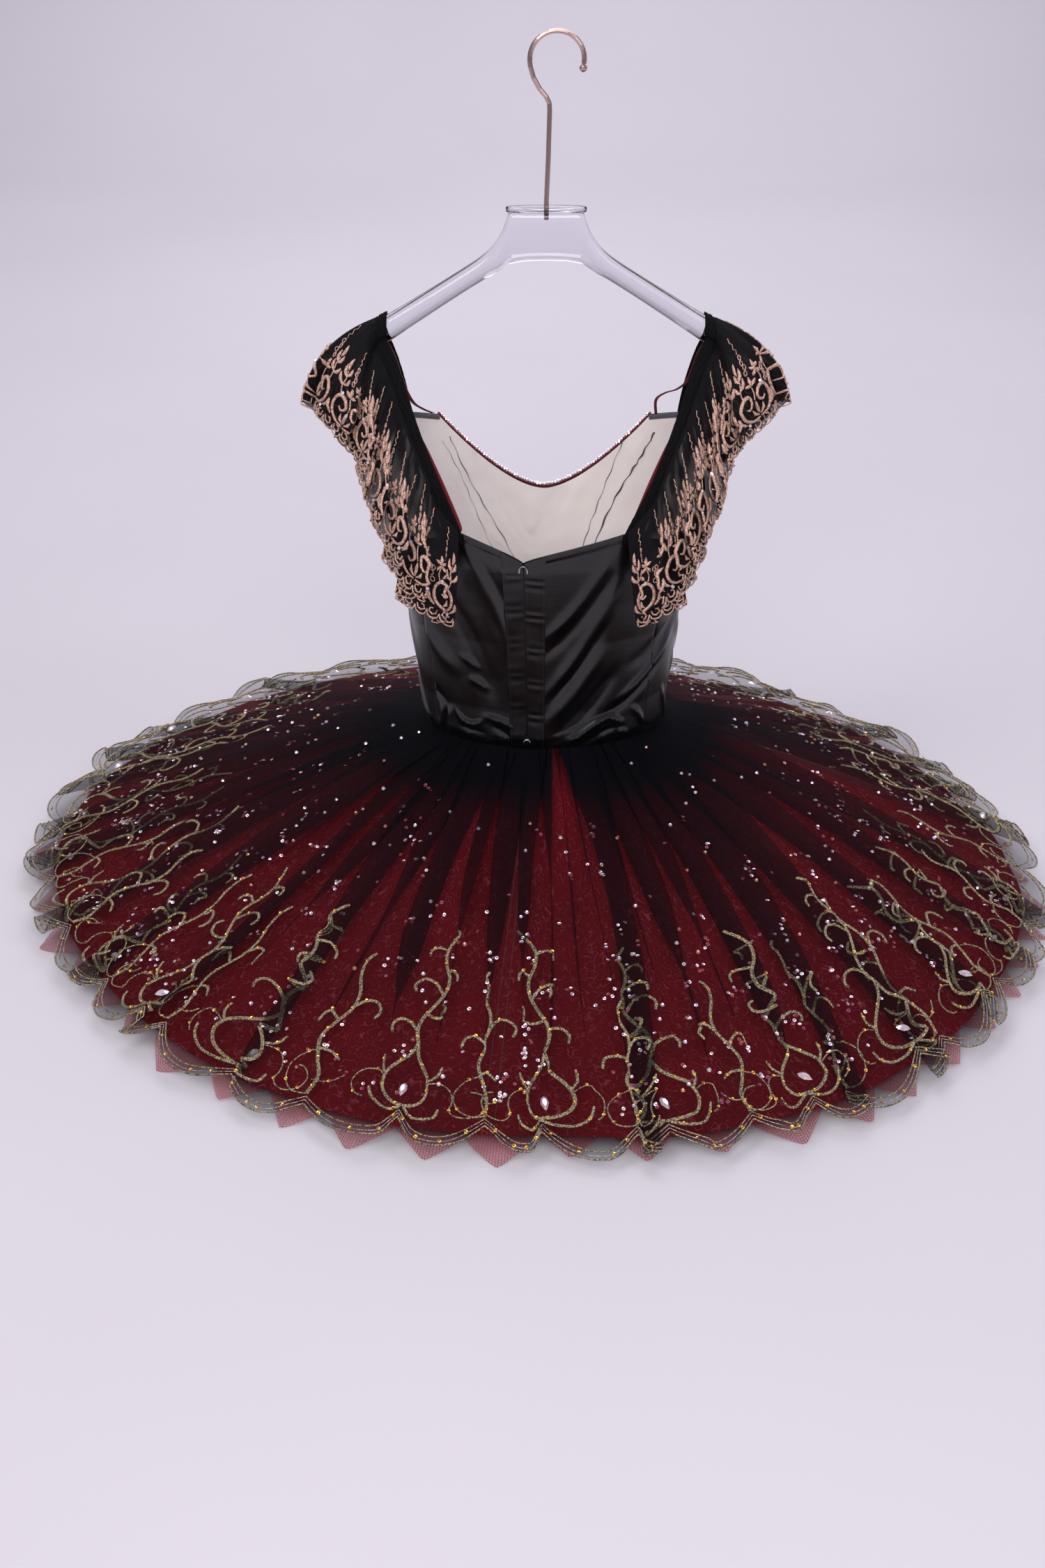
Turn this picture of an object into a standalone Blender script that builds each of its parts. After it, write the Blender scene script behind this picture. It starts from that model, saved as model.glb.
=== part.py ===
"""A ballet tutu held on a clear display hanger, its skirt spread out below it.

Metres, +Z up. The origin is the inside top of the hanger's hook, where a rail bears.
The back of the bodice, with its zip, faces -Y. Heights in the tables are measured up
from the level plane that the skirt's hem lies on.
"""
import bpy
import bmesh
from math import atan2, cos, degrees, hypot, pi, radians, sin
from mathutils import Vector

# ---------------------------------------------------------------- driving sizes
COLLECTION = "ballet_tutu"
GAP = 0.0003                # between sewn pieces
CLOTH = 0.0012              # wall of net, lace and lining
SATIN = 0.0020              # wall of the lined satin panels
WIRE_R = 0.00225            # hanger hook wire
HOOK_BEND_R = 0.0245        # to the wire's centre
HOOK_REACH = 0.0090         # the hook's top stands this far to the right of the neck
CENTRE_X = -HOOK_REACH      # middle of hanger and garment
HOOK_TOP = 0.8445           # height of the hook's inside top above the hem plane
HEM_Z = -HOOK_TOP

# Hanger, one row for each cross-section from the middle out to the tip.
# distance, top height, bottom height, half depth, squareness (2 is an ellipse)
HANGER_ROWS = (
    (0.000, 0.6872, 0.6425, 0.0080, 5.0),
    (0.018, 0.6872, 0.6420, 0.0080, 5.0),
    (0.033, 0.6872, 0.6395, 0.0080, 4.5),
    (0.037, 0.6790, 0.6370, 0.0083, 3.5),
    (0.041, 0.6690, 0.6345, 0.0086, 3.0),
    (0.049, 0.6570, 0.6290, 0.0090, 2.5),
    (0.062, 0.6450, 0.6215, 0.0095, 2.0),
    (0.085, 0.6300, 0.6070, 0.0098, 2.0),
    (0.120, 0.6085, 0.5840, 0.0100, 2.0),
    (0.150, 0.5905, 0.5640, 0.0100, 2.0),
    (0.164, 0.5815, 0.5555, 0.0096, 2.0),
    (0.170, 0.5755, 0.5530, 0.0080, 2.0),
    (0.174, 0.5690, 0.5560, 0.0045, 2.0),
)
HANGER_SIDES = 12
RIM_HALF_WIDTH = 0.0375
RIM_HALF_DEPTH = 0.0090
RIM_BOTTOM = 0.6866
RIM_TOP = 0.6918
SHAFT_BOTTOM = 0.6800

# Hook wire below its round bend: offset from the middle, height.
HOOK_SHAFT = (
    (-0.0150, 0.8160),
    (-0.0120, 0.8060),
    (-0.0065, 0.7965),
    (-0.0005, 0.7895),
    (0.0022, 0.7840),
    (0.0026, 0.7770),
    (0.0016, 0.7350),
    (0.0000, 0.6935),
    (0.0000, SHAFT_BOTTOM),
)
HOOK_TIP_DEG = -9
HOOK_BALL_R = 0.0036

# Bodice cross-sections: height, half width, half depth of the outside.
BODICE_ROWS = (
    (0.1745, 0.1215, 0.0820),
    (0.1860, 0.1245, 0.0850),
    (0.2150, 0.1262, 0.0855),
    (0.2500, 0.1305, 0.0880),
    (0.2900, 0.1350, 0.0920),
    (0.3300, 0.1420, 0.0975),
    (0.3700, 0.1515, 0.1035),
    (0.4100, 0.1570, 0.1075),
    (0.4500, 0.1600, 0.1110),
    (0.4900, 0.1600, 0.1130),
)
WAIST = BODICE_ROWS[0][0]

# Top edge. Angles go round the bodice: 0 is the wearer's right side, 90 the front
# and -90 the back.
BACK_CENTRE = -98.0
BACK_CORNERS = (-120.6, -61.4)
BACK_V = 0.3803
BACK_CORNER = 0.4065
BACK_CURVE = 0.75
FRONT_CENTRE = 90.0
FRONT_CORNERS = (48.0, 132.0)
FRONT_V = 0.3830
FRONT_CORNER = 0.4670
FRONT_CURVE = 1.70
FRONT_OUTER = (31.0, 149.0)
FRONT_OUTER_TOP = 0.4775
ARMHOLE_DIP = 0.048

# Bodice panels: name, the angles that their columns must hit, columns in each stretch.
PANELS = (
    ("bodice_back_left", (-150.0, -120.6, -98.0), (4, 4)),
    ("bodice_back_right", (-98.0, -61.4, -36.0), (5, 4)),
    ("bodice_side_right", (-36.0, 12.0), (6,)),
    ("bodice_front_side_right", (12.0, 31.0, 48.0, 62.0), (3, 2, 2)),
    ("bodice_front_centre", (62.0, 90.0, 118.0), (5, 5)),
    ("bodice_front_side_left", (118.0, 132.0, 149.0, 168.0), (2, 2, 3)),
    ("bodice_side_left", (168.0, 210.0), (6,)),
)
LINED = ("side_right", "front_side_right", "front_centre", "front_side_left", "side_left")
PANEL_SHARES = (0.0, 0.055, 0.22, 0.42, 0.62, 0.81, 1.0)   # of the way up, for the rows

# Back closing.
ZIP_TAPE_DEG = 6.5
PLACKET_DEG = 8.0
PLACKET_WALL = 0.0010
PLACKET_TOP_GAP = 0.0015
CLASP_WIRE_R = 0.0006
CLASP_HALF_WIDTH = 0.0032
CLASP_LENGTH = 0.0070
CLASP_LOOP = ((-1, 0), (-0.9, 0.6), (-0.4, 1), (0.4, 1), (0.9, 0.6), (1, 0))
PIPING_R = 0.0015
PIPING_SEAT = 0.0006

# Shoulder band, right side: inner edge x, y, height; then outer edge x, y, height.
# The rows run up the back; the stretch over the hanger's arm is worked out from it.
BAND_BACK = (
    ((0.1000, -0.0780, 0.4520), (0.1125, -0.0740, 0.4500)),
    ((0.1210, -0.0520, 0.5000), (0.1345, -0.0490, 0.4970)),
    ((0.1385, -0.0260, 0.5480), (0.1530, -0.0250, 0.5430)),
)
BAND_FRONT = (
    ((0.1440, 0.0270, 0.5480), (0.1580, 0.0270, 0.5430)),
    ((0.1370, 0.0500, 0.5120), (0.1510, 0.0500, 0.5090)),
)
BAND_WALL = 0.0012
BAND_ON_ARM = (0.1500, 0.1640)
ARM_SEAT = 0.0005
FOOT_SEAT = 0.0005
FOOT_RISE = 0.001
ARM_STEPS = (-1, 0, 1, 2, 3, 4, 5, 6, 7)
BAND_FOOT = 0.012

# Red strap, under the band: from the back corner to the arm, and from it to the front.
# On the right it leaves the band in a loop; on the left it lies along the front's edge.
STRAP_HALF_WIDTH = 0.0022
STRAP_WALL = 0.0014
STRAP_ON_ARM = 0.1545
STRAP_BACK = (
    (0.0810, -0.0890, 0.4140),
    (0.0972, -0.0740, 0.4490),
    (0.1108, -0.0612, 0.4755),
    (0.1233, -0.0490, 0.4984),
    (0.1417, -0.0230, 0.5456),
)
STRAP_FRONT_RIGHT = (
    (0.1463, 0.0247, 0.5459),
    (0.1385, 0.0340, 0.5180),
    (0.1290, 0.0470, 0.5040),
    (0.1180, 0.0600, 0.4960),
    (0.1100, 0.0700, 0.4860),
)
STRAP_FRONT_LEFT = (
    (0.1463, 0.0247, 0.5459),
    (0.1388, 0.0470, 0.5104),
    (0.1300, 0.0560, 0.4880),
    (0.1210, 0.0690, 0.4765),
)
BAND_SEAT = ARM_SEAT + STRAP_WALL + 0.0004      # over the strap

# Lace frill, right side, in even steps from the back corner over the shoulder to the
# front: x, y, height of the free edge, then how far the middle stands out.
FRILL_ROWS = (
    (0.0880, -0.1080, 0.3160, 0.004),
    (0.1150, -0.1120, 0.3340, 0.006),
    (0.1390, -0.1040, 0.3620, 0.007),
    (0.1590, -0.0880, 0.3950, 0.008),
    (0.1760, -0.0700, 0.4260, 0.009),
    (0.1900, -0.0500, 0.4530, 0.011),
    (0.2080, -0.0320, 0.4790, 0.012),
    (0.2220, -0.0180, 0.4980, 0.015),
    (0.2280, 0.0000, 0.5040, 0.016),
    (0.2230, 0.0200, 0.4970, 0.015),
    (0.2120, 0.0420, 0.4740, 0.012),
    (0.1980, 0.0620, 0.4480, 0.012),
    (0.1840, 0.0780, 0.4200, 0.008),
    (0.1680, 0.0920, 0.3980, 0.005),
)
FRILL_WAVES = 12
FRILL_WAVE_STEPS = 6
FRILL_WAVE = 0.0095
FRILL_FALL_STEPS = 3

# Skirt hem: outward reach at each 15 degrees, from the right side round by the front.
HEM_REACH = (
    0.512, 0.497, 0.490, 0.492, 0.498, 0.508, 0.514, 0.520,
    0.528, 0.536, 0.540, 0.545, 0.542, 0.530, 0.522, 0.524,
    0.530, 0.534, 0.532, 0.546, 0.548, 0.540, 0.530, 0.526,
)
PLEATS = 40
SCALLOPS = 40
PLEAT_STEPS = 6
SCALLOP_DEPTH = 0.011
SKIRT_RINGS = (0.0, 0.16, 0.40, 0.68, 1.0)
NET_RINGS = (0.0, 0.40, 1.0)
SKIRT_FALL = 1.03
OVERLAY_HEM = 0.0130
OVERLAY_PLEAT = 0.0058
OVERLAY_HEM_WAVE = 0.0025
SEQUIN_REACH = -0.024
SEQUIN_WAVES = 18
SEQUIN_WAVE = 0.0026
NET_REACH = -0.003
NET_POINTS = 50
NET_POINT_DEPTH = 0.022
# How far each layer lies below the overlay: at the waist, at the hem, extra between.
SEQUIN_DROP = (CLOTH + GAP, 0.0075, 0.0065)
NET_DROP = (2 * (CLOTH + GAP), 0.0116, 0.0160)


# ---------------------------------------------------------------- materials
def make_material(name, hex_colour, roughness, metallic=0.0):
    """A plain Principled material from an sRGB colour such as 'aa3344'."""
    channels = [int(hex_colour[i:i + 2], 16) / 255 for i in (0, 2, 4)]
    linear = [c / 12.92 if c <= 0.04045 else ((c + 0.055) / 1.055) ** 2.4 for c in channels]
    material = bpy.data.materials.new(name)
    material.use_nodes = True
    shader = material.node_tree.nodes["Principled BSDF"]
    shader.inputs["Base Color"].default_value = (*linear, 1.0)
    shader.inputs["Roughness"].default_value = roughness
    shader.inputs["Metallic"].default_value = metallic
    return material


def make_materials():
    return {
        "acrylic": make_material("clear_acrylic", "e6e4ee", 0.05),
        "wire": make_material("rose_wire", "b7a29c", 0.25, 1.0),
        "satin": make_material("black_satin", "1d1c20", 0.35),
        "lining": make_material("cream_cotton", "d9cfce", 0.85),
        "piping": make_material("burgundy_piping", "7a1526", 0.5),
        "strap": make_material("burgundy_velvet", "6a0f1c", 0.8),
        "band": make_material("black_net_band", "141316", 0.8),
        "lace": make_material("copper_lace", "6b4a40", 0.6),
        "tape": make_material("black_zip_tape", "151417", 0.7),
        "clasp": make_material("silver_clasp", "b8b8bc", 0.25, 1.0),
        "overlay": make_material("black_tulle", "15131a", 0.7),
        "sequin": make_material("burgundy_sequin_net", "5a121a", 0.4),
        "net": make_material("burgundy_net", "6e1a24", 0.8),
    }


# ---------------------------------------------------------------- helpers
def place(x, y, height):
    """A point given from the garment's middle and above the hem plane."""
    return Vector((CENTRE_X + x, y, HEM_Z + height))


def lerp(a, b, t):
    return a + (b - a) * t


def read_table(rows, key):
    """The columns of a table at a value of its first column, by straight steps."""
    if key <= rows[0][0]:
        return rows[0][1:]
    for low, high in zip(rows, rows[1:]):
        if key <= high[0]:
            t = (key - low[0]) / (high[0] - low[0])
            return tuple(lerp(a, b, t) for a, b in zip(low[1:], high[1:]))
    return rows[-1][1:]


def add_object(name, mesh, material, collection):
    mesh.materials.append(material)
    piece = bpy.data.objects.new(name, mesh)
    collection.objects.link(piece)
    return piece


def skin_rows(build, rows, around, flip):
    """Triangles between rows of vertices, all split the same way so that walls nest."""
    steps = len(rows[0]) if around else len(rows[0]) - 1
    for low, high in zip(rows, rows[1:]):
        for i in range(steps):
            j = (i + 1) % len(low)
            for corners in ((low[i], low[j], high[j]), (low[i], high[j], high[i])):
                build.faces.new(reversed(corners) if flip else corners)


def cloth_wall(name, outer, inner, around, material, collection):
    """One closed wall between an outer and an inner grid of points."""
    build = bmesh.new()
    outside = [[build.verts.new(p) for p in row] for row in outer]
    inside = [[build.verts.new(p) for p in row] for row in inner]
    skin_rows(build, outside, around, False)
    skin_rows(build, inside, around, True)
    skin_rows(build, (outside[-1], inside[-1]), around, False)
    skin_rows(build, (inside[0], outside[0]), around, False)
    if not around:
        for column, flip in ((0, True), (-1, False)):
            front = [row[column] for row in outside]
            back = [row[column] for row in inside]
            skin_rows(build, (front, back), False, flip)
    bmesh.ops.recalc_face_normals(build, faces=build.faces)
    mesh = bpy.data.meshes.new(name)
    build.to_mesh(mesh)
    build.free()
    mesh.shade_smooth()
    mesh.set_sharp_from_angle(angle=radians(50))
    return add_object(name, mesh, material, collection)


def bar_loft(name, rings, material, collection):
    """A solid bar through closed rings, with flat ends."""
    build = bmesh.new()
    rows = [[build.verts.new(p) for p in ring] for ring in rings]
    skin_rows(build, rows, True, False)
    build.faces.new(rows[0])
    build.faces.new(rows[-1])
    bmesh.ops.recalc_face_normals(build, faces=build.faces)
    mesh = bpy.data.meshes.new(name)
    build.to_mesh(mesh)
    build.free()
    mesh.shade_smooth()
    mesh.set_sharp_from_angle(angle=radians(40))
    return add_object(name, mesh, material, collection)


def wire(name, points, radius, material, collection, resolution=2):
    """A round wire through points, with filled ends."""
    curve = bpy.data.curves.new(name, "CURVE")
    curve.dimensions = "3D"
    curve.bevel_depth = radius
    curve.bevel_resolution = resolution
    curve.use_fill_caps = True
    spline = curve.splines.new("POLY")
    spline.points.add(len(points) - 1)
    for target, point in zip(spline.points, points):
        target.co = (*point, 1.0)
    curve.materials.append(material)
    piece = bpy.data.objects.new(name, curve)
    collection.objects.link(piece)
    return piece


def mirror_side(point, side):
    """The same point on the right (side 1) or the left (side -1)."""
    return Vector((CENTRE_X + side * (point.x - CENTRE_X), point.y, point.z))


def smooth_track(points, steps):
    """Points on a smooth curve through the given ones, steps to each stretch."""
    track = []
    last = len(points) - 1
    for i in range(last):
        before = points[max(i - 1, 0)]
        start = points[i]
        end = points[i + 1]
        after = points[min(i + 2, last)]
        for k in range(steps):
            t = k / steps
            bend_in = (end - before) * 0.5
            bend_out = (after - start) * 0.5
            track.append(
                start * (2 * t**3 - 3 * t**2 + 1) + bend_in * (t**3 - 2 * t**2 + t)
                + end * (3 * t**2 - 2 * t**3) + bend_out * (t**3 - t**2))
    track.append(points[last])
    return track


def point_along(points, share):
    """The point at a share of a path's length."""
    lengths = [(b - a).length for a, b in zip(points, points[1:])]
    left = min(max(share, 0.0), 1.0) * sum(lengths)
    for start, end, length in zip(points, points[1:], lengths):
        if left <= length:
            return start.lerp(end, left / length)
        left -= length
    return points[-1]


# ---------------------------------------------------------------- hanger
def arm_point(distance, step, out):
    """A point round the hanger's section: step 0 is its back, a quarter round its top."""
    top, bottom, half_depth, square = read_table(HANGER_ROWS, abs(distance))
    angle = 2 * pi * step / HANGER_SIDES
    bend = 2 / square
    deep = abs(cos(angle)) ** bend * (1 if cos(angle) > 0 else -1)
    tall = abs(sin(angle)) ** bend * (1 if sin(angle) > 0 else -1)
    return place(distance, -(half_depth + out) * deep,
                 (top + bottom) / 2 + ((top - bottom) / 2 + out) * tall)


def make_hanger(materials, parts, cutters):
    distances = [-row[0] for row in reversed(HANGER_ROWS[1:])] + [row[0] for row in HANGER_ROWS]
    rings = [[arm_point(d, k, 0.0) for k in range(HANGER_SIDES)] for d in distances]
    body = bar_loft("hanger_body", rings, materials["acrylic"], parts)

    rim_mesh = bpy.data.meshes.new("hanger_rim")
    rim = bmesh.new()
    bmesh.ops.create_cone(rim, cap_ends=True, segments=32, radius1=1.0, radius2=1.0, depth=1.0)
    bmesh.ops.scale(rim, verts=rim.verts,
                    vec=(RIM_HALF_WIDTH, RIM_HALF_DEPTH, RIM_TOP - RIM_BOTTOM))
    bmesh.ops.translate(rim, verts=rim.verts, vec=place(0, 0, (RIM_TOP + RIM_BOTTOM) / 2))
    rim.to_mesh(rim_mesh)
    rim.free()
    hole_mesh = bpy.data.meshes.new("hanger_hole")
    hole = bmesh.new()
    bmesh.ops.create_cone(hole, cap_ends=True, segments=16, radius1=WIRE_R + 2 * GAP,
                          radius2=WIRE_R + 2 * GAP, depth=0.04)
    bmesh.ops.translate(hole, verts=hole.verts, vec=place(0, 0, SHAFT_BOTTOM - GAP + 0.02))
    hole.to_mesh(hole_mesh)
    hole.free()
    for mesh, action in ((rim_mesh, "UNION"), (hole_mesh, "DIFFERENCE")):
        tool = bpy.data.objects.new(mesh.name, mesh)
        cutters.objects.link(tool)
        tool.hide_render = True
        tool.display_type = "WIRE"
        cut = body.modifiers.new(action.title(), "BOOLEAN")
        cut.operation = action
        cut.object = tool

    bend_centre = place(HOOK_REACH, 0, HOOK_TOP + WIRE_R - HOOK_BEND_R)
    angles = [radians(lerp(HOOK_TIP_DEG, 184, k / 20)) for k in range(21)]
    route = [bend_centre + Vector((cos(a), 0, sin(a))) * HOOK_BEND_R for a in angles]
    route += [place(x, 0, height) for x, height in HOOK_SHAFT]
    wire("hanger_hook", route, WIRE_R, materials["wire"], parts)
    ball_mesh = bpy.data.meshes.new("hanger_hook_ball")
    ball = bmesh.new()
    bmesh.ops.create_uvsphere(ball, u_segments=12, v_segments=8, radius=HOOK_BALL_R)
    away = Vector((sin(angles[0]), 0, -cos(angles[0]))) * (HOOK_BALL_R + GAP)
    bmesh.ops.translate(ball, verts=ball.verts, vec=route[0] + away)
    ball.to_mesh(ball_mesh)
    ball.free()
    ball_mesh.shade_smooth()
    add_object("hanger_hook_ball", ball_mesh, materials["wire"], parts)


# ---------------------------------------------------------------- bodice
def bodice_point(angle_deg, height, out):
    """A point on the bodice's outside, moved out square to its section."""
    half_width, half_depth = read_table(BODICE_ROWS, height)
    angle = radians(angle_deg)
    normal = Vector((cos(angle) / half_width, sin(angle) / half_depth, 0)).normalized()
    return place(half_width * cos(angle), half_depth * sin(angle), height) + normal * out


def top_height(angle_deg):
    """Height of the bodice's top edge at an angle."""
    angle = (angle_deg + 180) % 360 - 180
    if BACK_CORNERS[0] <= angle <= BACK_CORNERS[1]:
        corner = BACK_CORNERS[0] if angle < BACK_CENTRE else BACK_CORNERS[1]
        share = (angle - BACK_CENTRE) / (corner - BACK_CENTRE)
        return lerp(BACK_V, BACK_CORNER, share ** BACK_CURVE)
    if FRONT_CORNERS[0] <= angle <= FRONT_CORNERS[1]:
        share = abs(cos(radians(angle))) / cos(radians(FRONT_CORNERS[0]))
        return lerp(FRONT_V, FRONT_CORNER, share ** FRONT_CURVE)
    if FRONT_OUTER[0] <= angle <= FRONT_OUTER[1]:
        near = FRONT_CORNERS[0] if angle < FRONT_CENTRE else FRONT_CORNERS[1]
        far = FRONT_OUTER[0] if angle < FRONT_CENTRE else FRONT_OUTER[1]
        return lerp(FRONT_CORNER, FRONT_OUTER_TOP, (angle - near) / (far - near))
    if abs(angle) < 90:
        share = (angle - BACK_CORNERS[1]) / (FRONT_OUTER[0] - BACK_CORNERS[1])
    else:
        share = ((BACK_CORNERS[0] - angle) % 360) / (BACK_CORNERS[0] + 360 - FRONT_OUTER[1])
    return lerp(BACK_CORNER, FRONT_OUTER_TOP, share) - ARMHOLE_DIP * sin(pi * share)


def panel_columns(stops, counts):
    """Column angles that hit every stop."""
    angles = []
    for start, end, count in zip(stops, stops[1:], counts):
        angles += [lerp(start, end, k / count) for k in range(count)]
    return angles + [stops[-1]]


def panel_angles(stops, counts):
    """A panel's columns, drawn in by half a seam gap at both ends."""
    angles = panel_columns(stops, counts)
    half_gap = degrees(GAP / 2 / BODICE_ROWS[0][2])
    angles[0] += half_gap
    angles[-1] -= half_gap
    return angles


def bodice_grid(angles, top_of, out):
    """Rows of bodice points from the waist to a top edge that follows the angle."""
    return [[bodice_point(a, lerp(WAIST, top_of(a), share), out) for a in angles]
            for share in PANEL_SHARES]


def make_bodice(materials, parts):
    for name, stops, counts in PANELS:
        angles = panel_angles(stops, counts)
        outer = bodice_grid(angles, top_height, 0.0)
        inner = bodice_grid(angles, top_height, -SATIN)
        cloth_wall(name, outer, inner, False, materials["satin"], parts)
        short = name.replace("bodice_", "")
        if short in LINED:
            first = -SATIN - GAP
            outer = bodice_grid(angles, top_height, first)
            inner = bodice_grid(angles, top_height, first - CLOTH)
            cloth_wall("lining_" + short, outer, inner, False, materials["lining"], parts)


def make_closing(materials, parts):
    """Zip tape behind the centre back, turned plackets over it and two clasps."""
    def edge(angle):
        return top_height(angle) - PLACKET_TOP_GAP

    tape = [BACK_CENTRE + ZIP_TAPE_DEG * k / 2 for k in range(-2, 3)]
    first = -SATIN - GAP
    cloth_wall("zip_tape",
               bodice_grid(tape, edge, first),
               bodice_grid(tape, edge, first - CLOTH),
               False, materials["tape"], parts)
    half_gap = degrees(GAP / 2 / BODICE_ROWS[0][2])
    for name, side in (("placket_left", -1), ("placket_right", 1)):
        strip = sorted(BACK_CENTRE + side * lerp(half_gap, PLACKET_DEG, k / 2) for k in range(3))
        cloth_wall(name,
                   bodice_grid(strip, edge, GAP + PLACKET_WALL),
                   bodice_grid(strip, edge, GAP),
                   False, materials["satin"], parts)
    out = GAP * 3 + PLACKET_WALL + CLASP_WIRE_R
    half_width_deg = degrees(CLASP_HALF_WIDTH / BODICE_ROWS[0][1])
    for name, height in (("clasp_top", BACK_V - 0.010), ("clasp_waist", WAIST + 0.004)):
        loop = [bodice_point(BACK_CENTRE + half_width_deg * x, height + CLASP_LENGTH * z, out)
                for x, z in CLASP_LOOP]
        wire(name, loop, CLASP_WIRE_R, materials["clasp"], parts, 1)


def make_piping(materials, parts):
    """The corded edge along the front neckline, square to the edges of its panels."""
    low, high = FRONT_CORNERS
    stops = sorted({a for panel in PANELS for a in panel_columns(*panel[1:]) if low <= a <= high})
    edge = [bodice_point(a, top_height(a), -SATIN / 2) for a in stops]
    route = []
    for i, point in enumerate(edge):
        along = edge[min(i + 1, len(edge) - 1)] - edge[max(i - 1, 0)]
        out = bodice_point(stops[i], FRONT_V, 1.0) - bodice_point(stops[i], FRONT_V, 0.0)
        up = out.cross(along).normalized()
        route.append(point + up * (PIPING_R + PIPING_SEAT))
    wire("neckline_piping", route, PIPING_R, materials["piping"], parts, 1)


# ---------------------------------------------------------------- straps and frills
def ribbon(name, rows, wall, material, parts):
    """A flat band through rows of an inner edge, a middle, an outer edge and a way out."""
    outer = [[point + row[-1] * wall for point in row[:-1]] for row in rows]
    inner = [row[:-1] for row in rows]
    return cloth_wall(name, outer, inner, False, material, parts)


def free_rows(pairs, side):
    """Rows of a band in the air, facing away from the garment's middle line."""
    rows = []
    for inner_edge, outer_edge in pairs:
        a = mirror_side(place(*inner_edge), side)
        b = mirror_side(place(*outer_edge), side)
        away = Vector((side * 0.45, -0.8 if a.y < 0 else 0.8, 0.35)).normalized()
        rows.append((a, (a + b) / 2, b, away))
    return rows


def arm_rows(edges, side, steps, seat):
    """Rows of a band that wraps over the hanger's arm, from its back to its front."""
    rows = []
    for step in steps:
        a = mirror_side(arm_point(edges[0], step, seat), side)
        b = mirror_side(arm_point(edges[1], step, seat), side)
        away = (mirror_side(arm_point(edges[0], step, seat + 0.001), side) - a).normalized()
        rows.append((a, (a + b) / 2, b, away))
    return rows


def foot_rows(angles, heights):
    """Rows of a band that lie on the outside of the bodice."""
    middle = (angles[0] + angles[1]) / 2
    rows = []
    for height in heights:
        line = [bodice_point(a, height, FOOT_SEAT) for a in (angles[0], middle, angles[1])]
        away = bodice_point(middle, height, 1.0) - bodice_point(middle, height, 0.0)
        rows.append((*line, away))
    return rows


def make_band(side, name, materials, parts):
    back_corner = BACK_CORNERS[1] if side > 0 else BACK_CORNERS[0]
    back = (back_corner, back_corner + side * 8.0)
    front_corner = FRONT_OUTER[0] if side > 0 else FRONT_OUTER[1]
    front = (front_corner + side * 3.5, front_corner - side * 3.5)
    low = BACK_CORNER - BAND_FOOT
    rows = foot_rows(back, (low, BACK_CORNER + FOOT_RISE))
    rows += free_rows(BAND_BACK, side)
    rows += arm_rows(BAND_ON_ARM, side, ARM_STEPS, BAND_SEAT)
    rows += free_rows(BAND_FRONT, side)
    rows += foot_rows(front, (FRONT_OUTER_TOP + FOOT_RISE, FRONT_OUTER_TOP - BAND_FOOT))
    ribbon(name, rows, BAND_WALL, materials["band"], parts)
    return rows


def make_strap(side, name, materials, parts):
    """The narrow red strap that carries the bodice, inside the black band."""
    def thin_rows(points):
        pairs = [((x - STRAP_HALF_WIDTH, y, h), (x + STRAP_HALF_WIDTH, y, h))
                 for x, y, h in points]
        return free_rows(pairs, side)

    edges = (STRAP_ON_ARM - STRAP_HALF_WIDTH, STRAP_ON_ARM + STRAP_HALF_WIDTH)
    back_corner = BACK_CORNERS[1] if side > 0 else BACK_CORNERS[0]
    foot_deg = FRONT_CORNERS[0] - 2.5 if side > 0 else FRONT_CORNERS[1] + 2.5
    rows = []
    start = bodice_point(back_corner + side * 1.0, top_height(back_corner) + 2 * GAP, -SATIN)
    step = Vector((STRAP_HALF_WIDTH, 0, 0)) * side
    rows.append((start - step, start, start + step, Vector((0, -1, 0))))
    rows += thin_rows(STRAP_BACK)
    rows += arm_rows(edges, side, ARM_STEPS, ARM_SEAT)
    rows += thin_rows(STRAP_FRONT_RIGHT if side > 0 else STRAP_FRONT_LEFT)
    end = bodice_point(foot_deg, top_height(foot_deg) + 2 * GAP, -SATIN)
    rows.append((end - step, end, end + step, Vector((0, 1, 0))))
    ribbon(name, rows, STRAP_WALL, materials["strap"], parts)


def make_frill(side, rows, name, materials, parts):
    """A gathered lace frill that falls in waves, sewn over the outer edge of a band."""
    seat = BAND_WALL + 2 * GAP
    edge = [row[2] + row[3] * seat + (row[2] - row[1]).normalized() * GAP for row in rows]
    count = FRILL_WAVES * FRILL_WAVE_STEPS
    free_line = smooth_track([mirror_side(place(*row[:3]), side) for row in FRILL_ROWS],
                             FRILL_WAVE_STEPS)
    columns = []
    for i in range(count + 1):
        share = i / count
        sewn = point_along(edge, share)
        free = point_along(free_line, share)
        along = point_along(free_line, share + 0.02) - point_along(free_line, share - 0.02)
        normal = side * (free - sewn).cross(along).normalized()
        spot = share * (len(FRILL_ROWS) - 1)
        row = min(int(spot), len(FRILL_ROWS) - 2)
        bulge = lerp(FRILL_ROWS[row][3], FRILL_ROWS[row + 1][3], spot - row)
        wave = FRILL_WAVE * sin(2 * pi * i / FRILL_WAVE_STEPS)
        column = []
        for k in range(FRILL_FALL_STEPS + 1):
            fall = k / FRILL_FALL_STEPS
            lift = 4 * fall * (1 - fall) * bulge + fall * wave
            column.append((sewn.lerp(free, fall) + normal * lift, normal))
        columns.append(column)
    falls = range(FRILL_FALL_STEPS + 1)
    inner = [[column[k][0] for column in columns] for k in falls]
    outer = [[column[k][0] + column[k][1] * CLOTH for column in columns] for k in falls]
    cloth_wall(name, outer, inner, False, materials["lace"], parts)


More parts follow.
